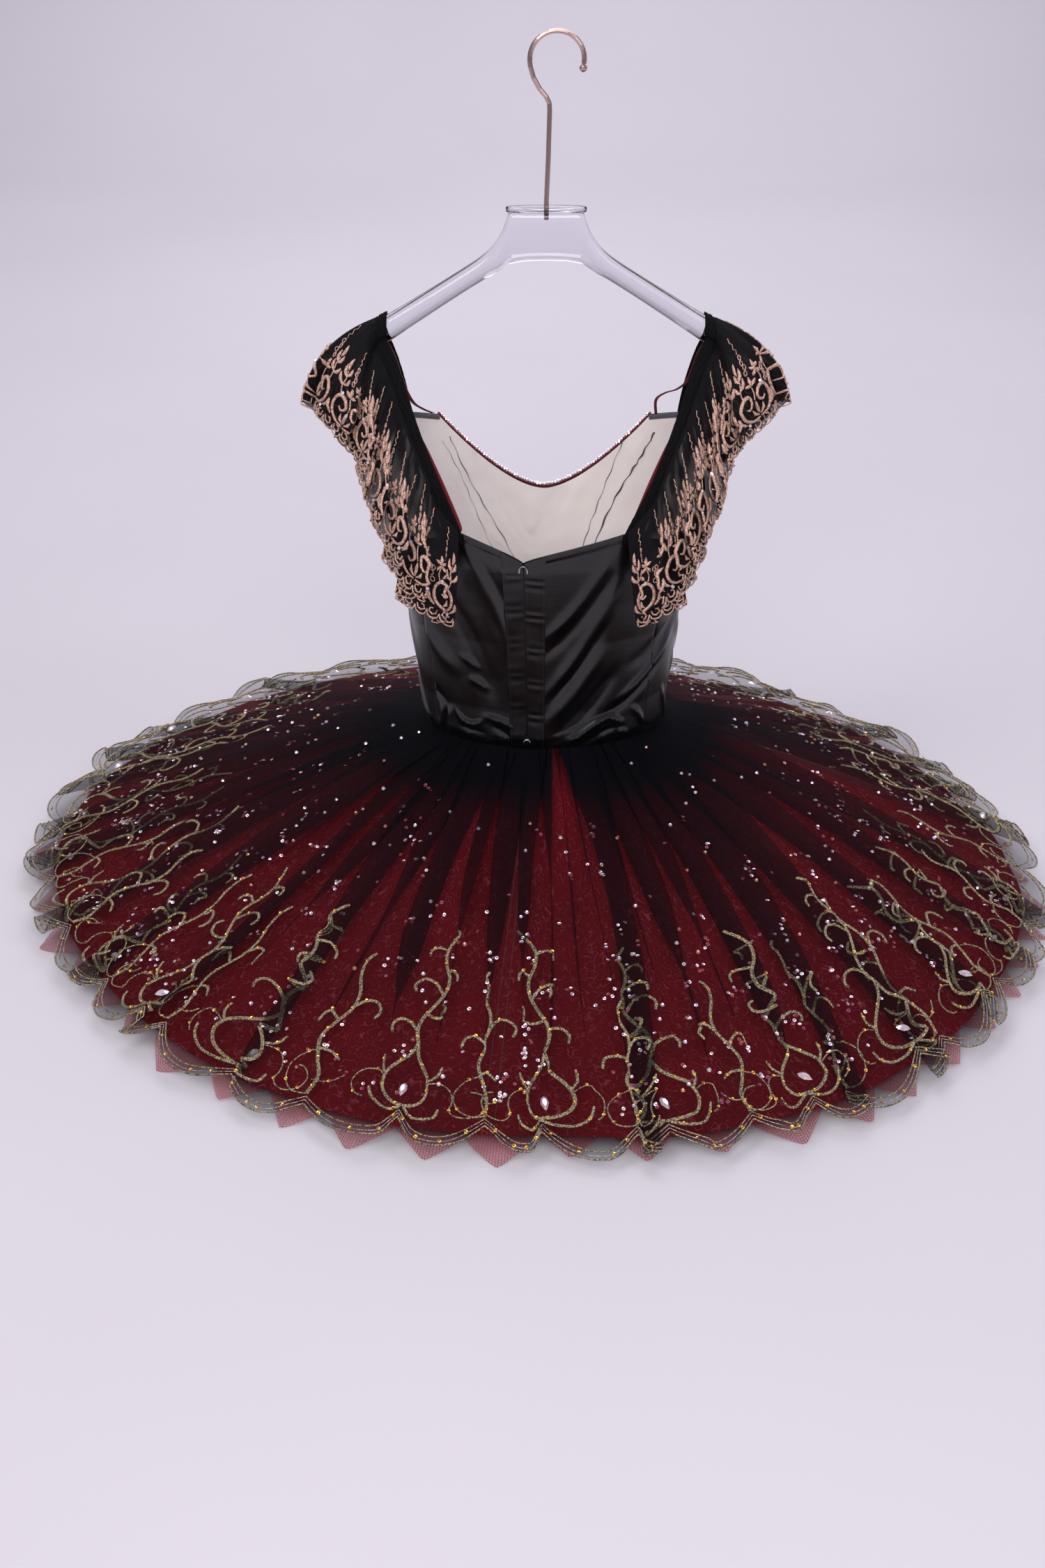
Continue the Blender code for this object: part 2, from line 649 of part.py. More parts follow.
# ---------------------------------------------------------------- skirt
def hem_reach(angle):
    """Smooth outward reach of the hem at an angle in radians."""
    spot = (degrees(angle) % 360) / 15
    index = int(spot)
    t = (1 - cos(pi * (spot - index))) / 2
    return lerp(HEM_REACH[index % 24], HEM_REACH[(index + 1) % 24], t)


def skirt_layer(name, shares, count, reach_of, drop, wave_of, material, parts):
    """A skirt layer: rings from the waist to the hem, each below the overlay's line."""
    half_width, half_depth = BODICE_ROWS[0][1:]
    at_waist, at_hem, between = drop
    rings = []
    for share in shares:
        ring = []
        for i in range(count):
            angle = 2 * pi * i / count
            reach = reach_of(i, angle)
            x = lerp((half_width - SATIN / 2) * cos(angle), reach * cos(angle), share)
            y = lerp((half_depth - SATIN / 2) * sin(angle), reach * sin(angle), share)
            heading = atan2(y, x)
            radius = hypot(x, y)
            start = 1 / hypot(cos(heading) / (half_width - SATIN / 2),
                              sin(heading) / (half_depth - SATIN / 2))
            along = min(max((radius - start) / (hem_reach(heading) - start), 0.0), 1.0)
            height = lerp(WAIST - GAP, OVERLAY_HEM, along ** SKIRT_FALL)
            height -= lerp(at_waist, at_hem, along) + between * sin(pi * along)
            height += wave_of(along) * sin(2 * pi * i / PLEAT_STEPS)
            ring.append(place(x, y, height))
        rings.append(ring)
    lower = [[point - Vector((0, 0, CLOTH)) for point in ring] for ring in rings]
    cloth_wall(name, rings, lower, True, material, parts)


def make_skirt(materials, parts):
    overlay_count = PLEATS * PLEAT_STEPS
    scallop_steps = overlay_count // SCALLOPS

    def scalloped(i, heading):
        bow = sin(pi * (i % scallop_steps) / scallop_steps)
        return hem_reach(heading) - SCALLOP_DEPTH * (1 - bow)

    def pointed(i, heading):
        return hem_reach(heading) + NET_REACH + NET_POINT_DEPTH * (i % 2 - 0.5)

    def overlay_wave(along):
        return OVERLAY_PLEAT * sin(pi * along) + OVERLAY_HEM_WAVE * along ** 3

    skirt_layer("skirt_overlay", SKIRT_RINGS, overlay_count, scalloped, (0.0, 0.0, 0.0),
                overlay_wave, materials["overlay"], parts)
    skirt_layer("skirt_sequin_layer", SKIRT_RINGS, SEQUIN_WAVES * PLEAT_STEPS,
                lambda i, heading: hem_reach(heading) + SEQUIN_REACH, SEQUIN_DROP,
                lambda along: SEQUIN_WAVE * sin(pi * along), materials["sequin"], parts)
    skirt_layer("skirt_net", NET_RINGS, NET_POINTS * 2, pointed, NET_DROP,
                lambda along: 0.0, materials["net"], parts)


# ---------------------------------------------------------------- build
def main():
    for item in list(bpy.data.objects):
        bpy.data.objects.remove(item)
    parts = bpy.data.collections.new(COLLECTION)
    cutters = bpy.data.collections.new("cutters")
    bpy.context.scene.collection.children.link(parts)
    bpy.context.scene.collection.children.link(cutters)
    materials = make_materials()
    make_hanger(materials, parts, cutters)
    make_bodice(materials, parts)
    make_closing(materials, parts)
    make_piping(materials, parts)
    for side, word in ((-1, "left"), (1, "right")):
        rows = make_band(side, "shoulder_band_" + word, materials, parts)
        make_strap(side, "shoulder_strap_" + word, materials, parts)
        make_frill(side, rows[1:-1], "lace_frill_" + word, materials, parts)
    make_skirt(materials, parts)


main()
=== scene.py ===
"""Ballet tutu on a clear hanger: satin bodice, lace frills at the shoulders, tulle skirt.

Metres, +Z up. The back of the bodice, with its zip, faces -Y. Angles go round the
garment from the wearer's right side, with 90 at the front and -90 at the back.
"""
import random
from bisect import bisect_right
from math import atan2, cos, degrees, exp, hypot, pi, radians, sin, sqrt, tau

import bmesh
import bpy
from bpy.props import FloatProperty, FloatVectorProperty, IntProperty, PointerProperty
from bpy.types import Operator, Panel, PropertyGroup
from mathutils import Matrix, Vector, noise


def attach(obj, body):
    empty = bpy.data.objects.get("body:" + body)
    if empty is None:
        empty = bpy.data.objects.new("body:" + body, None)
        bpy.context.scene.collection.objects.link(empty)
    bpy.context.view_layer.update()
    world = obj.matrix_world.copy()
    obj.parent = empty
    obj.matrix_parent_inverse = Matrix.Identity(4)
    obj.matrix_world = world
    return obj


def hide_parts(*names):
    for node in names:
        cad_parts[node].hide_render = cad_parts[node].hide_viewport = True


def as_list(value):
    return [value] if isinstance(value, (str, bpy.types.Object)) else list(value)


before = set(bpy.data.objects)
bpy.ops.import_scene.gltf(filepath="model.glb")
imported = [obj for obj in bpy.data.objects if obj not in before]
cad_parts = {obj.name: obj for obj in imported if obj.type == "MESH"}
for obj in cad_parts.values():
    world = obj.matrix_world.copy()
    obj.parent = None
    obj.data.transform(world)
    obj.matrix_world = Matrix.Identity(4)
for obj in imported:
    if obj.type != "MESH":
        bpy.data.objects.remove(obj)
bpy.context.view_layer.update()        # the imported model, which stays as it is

bl_info = {
    "name": "Ballet tutu on a clear hanger",
    "version": (1, 0, 0),
    "blender": (4, 5, 0),
    "location": "View3D > Sidebar > Tutu",
    "description": "Builds the garment's cloth, lace, embroidery and trim round its solids",
    "category": "Object",
}

# ---------------------------------------------------------------- the maker's sizes
CENTRE_X = -0.009           # middle of hanger and garment
HEM_Z = -0.8445             # the level plane that the skirt's hem lies on
MM = 0.001

# Stage: the camera's place, how far it looks down and its sensor; the floor from front to
# bend, the bend's radius, the wall's top and half the width of both.
CAMERA_SPOT = (-0.0310, -2.0315, 0.2957)
CAMERA_DOWN_DEG, SENSOR_HEIGHT = 27.303, 36.0
FLOOR_FRONT, FLOOR_BACK, FLOOR_BEND, WALL_TOP, FLOOR_HALF_WIDTH = -5.0, 3.4, 0.8, 4.5, 6.0
PAPER_CLOUD = 0.9065         # the paper's clouds against its own colour
ROOM_COLOUR, ROOM_LIGHT = "dedae4", 0.36    # the light that comes from all round
# Lamps: name, place, what it aims at, size, share of the set light, colour.
LAMPS = (
    ("key", (-1.3, -1.5, 1.5), (0, 0, -0.5), 1.2, 1.0, "fff8fb"),
    ("fill", (1.6, -1.2, 1.1), (0, 0, -0.5), 1.4, 0.55, "f3efff"),
    ("top", (0.1, 0.5, 1.7), (0, 0, -0.6), 1.8, 0.8, "fbf6ff"),
    ("front", (0.0, -2.4, 0.9), (0, 0, -0.3), 1.2, 1.2, "fffaf8"),
    ("backdrop", (0.0, 2.8, 1.7), (0, 3.2, -0.8), 3.0, 2.4, "fbf6ff"))

# Hanger: distance out, top height, bottom height, half depth, squareness of the section.
HANGER_ROWS = (
    (0.000, 0.6872, 0.6425, 0.0080, 5.0), (0.018, 0.6872, 0.6420, 0.0080, 5.0),
    (0.033, 0.6872, 0.6395, 0.0080, 4.5), (0.037, 0.6790, 0.6370, 0.0083, 3.5),
    (0.041, 0.6690, 0.6345, 0.0086, 3.0), (0.049, 0.6570, 0.6290, 0.0090, 2.5),
    (0.062, 0.6450, 0.6215, 0.0095, 2.0), (0.085, 0.6300, 0.6070, 0.0098, 2.0),
    (0.120, 0.6085, 0.5840, 0.0100, 2.0), (0.150, 0.5905, 0.5640, 0.0100, 2.0),
    (0.164, 0.5815, 0.5555, 0.0096, 2.0), (0.170, 0.5755, 0.5530, 0.0080, 2.0),
    (0.174, 0.5690, 0.5560, 0.0045, 2.0))
HANGER_SIDES = 12
RIM = (0.0375, 0.0090, 0.6866, 0.6918)      # half width, half depth, bottom, top
RIM_ROUND = 0.0012

# Bodice: height, half width and half depth of the outside.
BODICE_ROWS = (
    (0.1745, 0.1215, 0.0820), (0.1860, 0.1245, 0.0850), (0.2150, 0.1262, 0.0855),
    (0.2500, 0.1305, 0.0880), (0.2900, 0.1350, 0.0920), (0.3300, 0.1420, 0.0975),
    (0.3700, 0.1515, 0.1035), (0.4100, 0.1570, 0.1075), (0.4500, 0.1600, 0.1110),
    (0.4900, 0.1600, 0.1130))
WAIST = BODICE_ROWS[0][0]
SATIN_DEEP = 0.0023         # the lining lies this far inside the satin's face
TOP_TURN, TURN_GROOVE = 0.0075, 0.0007      # satin turned in at the top, its stitched line
SEAM_GROOVE = 0.0007        # how far the seams between panels sink in
TURN_HALF, SEAM_HALF, TURN_LIFT = 0.0008, 0.0016, 0.0005    # half widths; the turned edge
FOLDS_FADE = (0.05, 0.02)   # folds fade out over a share at the waist, over metres at the top
FOLD_LIMITS = (-0.0014, 0.0042)             # of the satin's face, in and out
BACK_CENTRE = -98.0
BACK_CORNERS = (-120.6, -61.4)
FRONT_CORNERS = (48.0, 132.0)
FRONT_OUTER = (31.0, 149.0)
BACK_V, BACK_CORNER, BACK_CURVE = 0.3803, 0.4065, 0.75
FRONT_V, FRONT_CORNER, FRONT_CURVE = 0.3830, 0.4670, 1.70
FRONT_OUTER_TOP, ARMHOLE_DIP = 0.4775, 0.048
PANELS = (
    ("back_left", -150.0, -98.0), ("back_right", -98.0, -36.0), ("side_right", -36.0, 12.0),
    ("front_side_right", 12.0, 62.0), ("front_centre", 62.0, 118.0),
    ("front_side_left", 118.0, 168.0), ("side_left", 168.0, 210.0))
UNLINED = ("back_left", "back_right")
TAPE_CUT, TAPE_HALF_DEG = (0.026, 0.206), 6.5
PLACKET_CUT, PLACKET_DEG = (0.013, 0.21), 8.0
TOOTH_PITCH = 0.0018
STITCHED_TOPS = ((-120.0, -99.0), (-97.0, -62.0))   # headings of the back's top stitching
BINDING_DEPTH = 0.0045      # grey binding round the armholes, inside
TURNED_WALL = 0.0004        # of the plackets and the binding
PIPING_RADIUS, SEAM_CORD, CRYSTALS = 0.0015, 0.0008, (0.0034, 0.0046)
TOOTH = (0.0022, 0.0009, 0.0009)
STITCH_THICK = (0.22, 0.16)  # width and height of a stitch against its length
STITCHED_DEG = 7.2           # the stitched lines lie this far beside the closing
FOLD_ARM, SEAM_ARM = 0.125, 0.13            # metres of satin to a radian round the bodice

# Folds in the satin: angle and height of the start, the same of the end, half width,
# height of the ridge (a trough is negative), sideways bow, all lengths in millimetres.
SATIN_FOLDS = (
    (-119.0, 394, -107.0, 290, 8.5, 2.6, 3.0), (-108.5, 300, -103.0, 236, 5.5, 1.6, 0.0),
    (-115.5, 386, -103.0, 294, 4.0, -1.9, 4.0), (-108.0, 386, -101.5, 330, 3.6, 1.5, 2.0),
    (-106.0, 350, -102.0, 300, 3.0, -1.0, 0.0), (-112.0, 330, -103.5, 222, 4.5, -1.4, 3.0),
    (-153.0, 300, -134.0, 255, 9.0, 2.4, -2.0), (-131.0, 330, -114.0, 236, 9.0, -2.2, 3.0),
    (-128.0, 271, -119.0, 259, 3.2, 1.1, 0.0), (-124.0, 247, -116.0, 238, 3.4, 1.2, 0.0),
    (-148.5, 178, -145.0, 207, 3.0, 2.0, -2.0), (-139.0, 180, -138.5, 206, 3.0, 2.0, 2.0),
    (-143.5, 176, -142.0, 202, 3.0, -1.6, 0.0), (-134.0, 204, -120.0, 200, 2.6, 1.7, -7.0),
    (-131.0, 190, -118.0, 187, 4.0, -1.6, 0.0), (-117.0, 206, -98.8, 190, 3.0, 1.9, 3.0),
    (-121.0, 177, -108.5, 181, 2.2, 1.2, 1.0), (-113.0, 196, -101.0, 180, 3.4, -1.5, 0.0),
    (-160.0, 230, -142.0, 214, 5.0, -1.5, 2.0), (-158.0, 204, -150.0, 184, 3.4, 1.5, 0.0),
    (-68.0, 378, -89.0, 300, 5.0, 2.0, 5.0), (-66.0, 358, -88.5, 282, 4.4, -1.8, 4.0),
    (-63.5, 342, -87.5, 238, 6.5, 2.5, 4.0), (-66.0, 306, -86.5, 232, 5.0, -2.1, 3.0),
    (-67.0, 274, -88.0, 206, 6.5, 2.2, 3.0), (-60.0, 250, -86.0, 184, 6.5, -2.6, 3.0),
    (-23.0, 277, -53.0, 223, 5.4, 3.0, 2.5), (-30.0, 254, -60.0, 210, 5.0, -2.6, 2.0),
    (-20.0, 300, -48.0, 262, 7.0, -1.8, 2.0), (-62.0, 204, -79.5, 176, 3.8, 2.8, -3.0),
    (-58.0, 192, -72.0, 176, 3.2, -2.0, -2.0), (-44.5, 208, -36.0, 181, 2.8, 2.2, 2.0),
    (-60.5, 206, -51.5, 196, 2.4, 1.6, 0.0), (-53.0, 187, -46.0, 180, 2.6, 1.7, 0.0),
    (-40.0, 190, -31.0, 179, 3.0, -1.6, 0.0), (-86.5, 186, -76.0, 196, 2.6, 1.2, 0.0),
    (-14.0, 290, 6.0, 236, 8.0, 2.2, 3.0), (-8.0, 250, 14.0, 200, 6.0, 2.0, -3.0),
    (2.0, 214, 12.0, 180, 3.4, 2.2, 1.5), (-20.0, 216, -10.0, 180, 3.6, 2.0, 0.0),
    (18.0, 330, 34.0, 236, 8.0, 1.8, 4.0), (30.0, 210, 44.0, 182, 4.0, 2.0, 2.0),
    (52.0, 300, 60.0, 216, 6.5, 1.6, -3.0), (70.0, 214, 82.0, 186, 4.0, 1.8, 2.0),
    (86.0, 240, 90.0, 184, 5.0, 1.6, 0.0), (98.0, 206, 112.0, 182, 4.0, 2.0, -2.0),
    (122.0, 300, 130.0, 214, 7.0, 1.7, 3.0), (134.0, 206, 146.0, 182, 3.8, 2.0, 0.0),
    (150.0, 330, 166.0, 240, 8.0, 2.0, -3.0), (160.0, 212, 168.0, 182, 3.6, 2.0, 0.0),
    (176.0, 300, 196.0, 236, 8.0, 2.2, 2.0), (184.0, 226, 200.0, 184, 5.0, 2.2, -2.0))
LINING_FOLDS = (
    (107.0, 376, 95.5, 326, 5.5, -1.6, 2.0), (83.0, 378, 94.0, 326, 6.0, -1.8, -2.0),
    (95.0, 372, 95.0, 332, 6.0, 1.5, 0.0), (74.0, 400, 80.0, 330, 7.0, 1.0, 3.0),
    (126.0, 420, 118.0, 350, 5.0, 1.1, 2.0), (135.0, 400, 128.0, 330, 4.0, -1.0, -2.0),
    (54.0, 430, 60.0, 360, 5.0, 1.0, -2.0), (40.0, 420, 46.0, 340, 6.0, 1.2, 2.0),
    (112.0, 340, 100.0, 300, 5.0, 1.0, 0.0), (70.0, 320, 82.0, 290, 5.0, -1.0, 0.0))
# Seam edges that show on the lining: thickness, then heading and millimetres of height.
LINING_SEAMS = (
    (0.55, ((58.5, 443), (63.7, 404), (68.5, 365), (72.3, 329), (76.0, 280))),
    (1.25, ((45.3, 450), (50.5, 425), (54.5, 407), (60.7, 377), (66.3, 338), (71.0, 290))),
    (0.6, ((127.4, 443), (121.0, 403), (113.1, 361), (105.0, 321), (100.0, 290))),
    (0.35, ((130.8, 440), (124.0, 405), (119.5, 372), (114.3, 333), (109.0, 300))))

# Shoulder band: inner edge x, y, height, then outer edge x, y, height, up the back.
BAND_BACK = (
    ((0.1000, -0.0780, 0.4520), (0.1125, -0.0740, 0.4500)),
    ((0.1210, -0.0520, 0.5000), (0.1345, -0.0490, 0.4970)),
    ((0.1385, -0.0260, 0.5480), (0.1530, -0.0250, 0.5430)))
BAND_FRONT = (
    ((0.1440, 0.0270, 0.5480), (0.1580, 0.0270, 0.5430)),
    ((0.1370, 0.0500, 0.5120), (0.1510, 0.0500, 0.5090)))
BAND_ON_ARM = (0.1500, 0.1640)
# Depth of the band's feet, width of the back one and half that of the front one; the
# strap's foot beside the front corner, over the top edge and in from the satin.
BAND_FOOT, BACK_FOOT_DEG, FRONT_FOOT_DEG = 0.012, 8.0, 3.5
STRAP_FOOT_DEG, STRAP_OVER, STRAP_IN = 2.5, 0.0006, 0.002
SEAT = 0.0005
STRAP_ON_ARM, STRAP_HALF_WIDTH, STRAP_WALL = 0.1545, 0.0022, 0.0014
STRAP_BACK = ((0.0810, -0.0890, 0.4140), (0.0972, -0.0740, 0.4490),
              (0.1108, -0.0612, 0.4755), (0.1233, -0.0490, 0.4984),
              (0.1417, -0.0230, 0.5456))
STRAP_FRONT_RIGHT = ((0.1463, 0.0247, 0.5459), (0.1385, 0.0340, 0.5180),
                     (0.1290, 0.0470, 0.5040), (0.1180, 0.0600, 0.4960),
                     (0.1100, 0.0700, 0.4860))
STRAP_FRONT_LEFT = ((0.1463, 0.0247, 0.5459), (0.1388, 0.0470, 0.5104),
                    (0.1300, 0.0560, 0.4880), (0.1210, 0.0690, 0.4765))
BAND_SEAT = SEAT + STRAP_WALL + 0.0004      # over the strap

# Lace frill: x, y, height of the free edge, how far the middle stands out.
FRILL_ROWS = (
    (0.0880, -0.1080, 0.3160, 0.004), (0.1150, -0.1120, 0.3340, 0.006),
    (0.1390, -0.1040, 0.3620, 0.007), (0.1590, -0.0880, 0.3950, 0.008),
    (0.1760, -0.0700, 0.4260, 0.009), (0.1900, -0.0500, 0.4530, 0.011),
    (0.2080, -0.0320, 0.4790, 0.012), (0.2220, -0.0180, 0.4980, 0.015),
    (0.2280, 0.0000, 0.5040, 0.016), (0.2230, 0.0200, 0.4970, 0.015),
    (0.2120, 0.0420, 0.4740, 0.012), (0.1980, 0.0620, 0.4480, 0.012),
    (0.1840, 0.0780, 0.4200, 0.008), (0.1680, 0.0920, 0.3980, 0.005))
# Ruffles of each frill from its back corner: where each fold lies, as a share of the
# finished edge, then how far it laps and how far it stands out, in millimetres.
RUFFLES_LEFT = (
    (0.035, 9, 4), (0.098, 17, 8), (0.158, 15, 9), (0.214, 18, 8), (0.266, 14, 8),
    (0.318, 17, 8), (0.368, 13, 8), (0.420, 15, 8), (0.475, 8, 6), (0.600, 4, 5),
    (0.690, 12, 8), (0.760, 15, 8), (0.830, 14, 8), (0.900, 15, 8), (0.965, 9, 5))
RUFFLES_RIGHT = (
    (0.040, 8, 4), (0.118, 22, 8), (0.205, 24, 10), (0.295, 20, 9), (0.350, 12, 7),
    (0.410, 20, 9), (0.480, 7, 6), (0.600, 4, 5), (0.685, 14, 8), (0.765, 18, 9),
    (0.850, 16, 8), (0.935, 12, 6))
RUFFLE_STAND = 1.35          # what a ruffle stands out, against its row
FRILL_OVER, FRILL_IN = 0.0022, 0.0040       # its sewn edge over the band, in from its edge
LACE_FALL = 0.092
LACE_NOTCH = 0.0060         # depth of the scallops along the lace's free edge

# Skirt hem: outward reach at each 15 degrees from the right side round by the front.
HEM_REACH = (
    0.512, 0.497, 0.490, 0.492, 0.498, 0.508, 0.514, 0.520, 0.528, 0.536, 0.540, 0.545,
    0.542, 0.530, 0.522, 0.524, 0.530, 0.534, 0.532, 0.546, 0.548, 0.540, 0.530, 0.526)
WAIST_HALF = (0.1205, 0.0810)
WAIST_SEAM = 0.1742         # height of the seam that joins skirt and bodice
SKIRT_FALL, OVERLAY_HEM = 1.03, 0.0130
SCALLOP_DEPTH = 0.026
CUSP_REACH = -0.016         # of the tulle's cusps, against the hem
OPENING, RED_SEAM = -86.0, -96.0     # headings of the tulle's opening and of the red seam
FALL_LENGTH = 0.452         # of the tulle, from the waist seam to the scallops
# The two layers under the tulle: reach against the hem, drop at the waist, at the hem and
# between, flat size and flat area. The net's points: width as an angle, height and shift.
SEQUIN_REACH, SEQUIN_DROP = -0.024, (0.0015, 0.0075, 0.0065)
SEQUIN_CUT, SEQUIN_AREA = (3.1, 0.43), 0.95
NET_REACH, NET_DROP = -0.009, (0.0030, 0.0116, 0.0160)
NET_CUT, NET_AREA = (3.3, 0.45), 1.05
POINT_WIDTH, POINT_TALL, POINT_SHIFT = (0.100, 0.150), (0.022, 0.040), (-0.009, 0.004)

# Folds of the tulle from the right side round by the front: heading in degrees, the band
# that laps in millimetres, the share of the fall where it opens out, the degrees it
# drifts on its way down, and the way it turns.
TULLE_FOLDS = (
    (8, 28, 1.4, -12, 1), (17, 24, 1.4, -8, 1), (25, 22, 1.4, -6, 1), (34, 22, 1.4, -4, 1),
    (43, 12, 0.9, 0, -1), (52, 15, 1.4, 0, 1), (63, 9, 0.7, 4, 1), (73, 17, 1.4, 2, -1),
    (84, 8, 0.6, 0, 1), (95, 13, 1.4, -3, 1), (106, 9, 0.7, 0, -1), (117, 13, 1.0, 3, 1),
    (128, 16, 1.4, 4, -1), (137, 14, 0.9, 3, -1), (146, 24, 1.4, 6, -1), (155, 26, 1.4, 6, -1),
    (164, 26, 1.4, 6, -1), (173, 28, 1.4, 6, -1), (183, 24, 1.4, 4, -1), (190.5, 12, 0.8, 4, -1),
    (197.5, 24, 1.4, 3, -1), (208.5, 24, 1.4, 5, -1), (215, 7, 0.6, 0, 1), (222, 22, 1.4, 2, 1),
    (229, 7, 0.6, 0, -1), (235.5, 17, 1.1, 3, -1), (242, 8, 0.55, 4, -1), (249, 17, 0.78, 8, -1),
    (255.5, 7, 0.6, 4, 1), (261.5, 14, 0.72, 6, -1), (266.5, 11, 0.66, 2, 1),
    (270.5, 3, 0.4, -1, -1), (275, 3, 0.13, 0, 1), (279, 3, 0.13, -2, 1),
    (282.5, 20, 1.4, -5, 1), (286, 3, 0.4, -4, -1), (289.5, 14, 0.68, -6, 1),
    (295, 8, 0.6, -6, 1), (300.5, 17, 0.92, -12, 1), (307, 20, 1.4, -12, 1),
    (316.5, 22, 1.4, -11, 1), (328, 22, 1.4, -12, 1), (339, 18, 1.4, -10, 1),
    (350, 24, 1.4, -14, 1))
HEM_RADIUS, WAIST_RADIUS = 0.53, 0.10
OPENS_OVER = 0.22           # share of the fall over which a fold opens out
OPENS_NEVER = 1.2           # a fold that opens later than this runs over the hem
PLEAT_BACK = 0.007          # the least cloth that turns back in a fold
CREASE = 0.0026             # what a fold still laps where it has opened
CREASE_ENDS = 0.66          # the share of the fall below which that runs out too


# Gold embroidery on the tulle, in millimetres along the strip and up from its scallops.
# Each line is its half width at the start and at the end, then its points.
GOLD_TALL = (
    (2.2, 2.0, ((0, 13), (-12, 15), (-24, 22), (-30, 33), (-26, 46), (-14, 57), (-2, 68),
                (4, 80))),
    (2.0, 2.0, ((1, 13), (14, 14), (25, 20), (29, 31), (24, 44), (15, 55), (7, 66), (4, 80))),
    (2.3, 1.5, ((4, 80), (0, 93), (3, 108), (12, 122), (20, 137), (21, 152), (15, 167),
                (14, 182), (20, 196), (27, 208))),
    (1.7, 1.7, ((2, 90), (-8, 100), (-20, 103), (-28, 97), (-27, 89))),
    (1.7, 1.7, ((5, 112), (16, 108), (28, 111), (33, 120), (28, 126))),
    (1.6, 1.6, ((18, 134), (9, 146), (-3, 149), (-11, 142), (-9, 134))),
    (1.5, 1.5, ((20, 158), (30, 163), (39, 159), (40, 151))),
    (1.4, 1.4, ((14, 181), (4, 186), (-4, 182), (-4, 175))),
    (1.8, 1.2, ((0, 13), (-14, 8), (-29, 9), (-40, 17), (-44, 28))),
    (1.8, 1.2, ((2, 12), (15, 3), (28, 1), (38, 6), (41, 14))),
    (1.4, 1.2, ((-27, 44), (-33, 53), (-32, 64))),
    (1.4, 1.2, ((26, 40), (36, 47), (40, 58))),
    (0.4, 0.4, ((-29, 42), (-40, 48), (-51, 44), (-57, 33), (-54, 21), (-47, 17))),
    (0.4, 0.4, ((27, 38), (39, 41), (49, 34), (52, 23), (50, 14), (57, 8), (68, 8), (78, 14),
                (82, 25), (77, 34), (67, 36))))
GOLD_SHORT = (
    (1.9, 1.9, ((0, 10), (4, 27), (-2, 44), (-7, 62), (0, 80), (9, 96), (10, 113), (3, 129),
                (2, 143), (9, 154))),
    (1.6, 1.5, ((-5, 52), (7, 53), (15, 47))),
    (1.7, 1.6, ((9, 97), (19, 107), (30, 107), (36, 98), (32, 91))),
    (1.6, 1.5, ((0, 82), (-12, 90), (-22, 86), (-25, 76))),
    (0.5, 0.4, ((-5, 50), (-18, 44), (-27, 31), (-23, 16), (-11, 9), (2, 11))),
    (0.5, 0.4, ((0, 23), (13, 25), (22, 33))))

# Cords along the scallops: up from the edge at the cusps and at the middle, thickness.
EDGE_CORDS = ((0.0010, 0.0010, 1.0), (0.0085, 0.0115, 0.85))
SILVER_THREAD = (0.0050, 0.0062, 0.35)
LOOSE_SEQUIN, EDGE_SEQUIN, SCROLL_SEQUIN = (0.0032, 0.0040), 0.0036, 0.0034
ROUND_STONE, DROP_STONE = (0.0034, 0.0046), 0.0075
# How far each lies over the tulle, so that no fold cuts it.
CORD_LIFT, SCROLL_LIFT, LOOSE_LIFT, DROP_LIFT = 0.0005, 0.0007, 0.0012, 0.0012
SCROLL_SEQUIN_LIFT, EDGE_SEQUIN_LIFT, STONE_LIFT = 0.0016, 0.0014, 0.0010
# Loose sequins lie in groups: how many, how far apart, the share that is bright.
GROUP_SIZES, GROUP_SPREAD, BRIGHT_SHARE = (1, 1, 1, 2, 3, 4, 5), 0.0055, 0.55
# How sequins and stones thin out up the fall: the smaller the first number, the more lie
# low; then the share of the fall that they reach and the least height.
LOOSE_HEIGHTS, STONE_HEIGHTS = (0.42, 0.86, 0.02), (0.7, 0.9, 0.03)
LOOSE_TILT, CORD_TILT, STONE_TILT, DROP_TILT = 0.34, 0.3, 0.12, 0.08
# Scrolls: how much taller or shorter each is drawn, and how far it is moved aside.
TALL_GROWTH, SHORT_GROWTH, SCROLL_SHIFT = (0.86, 1.12), (0.85, 1.25), 0.004

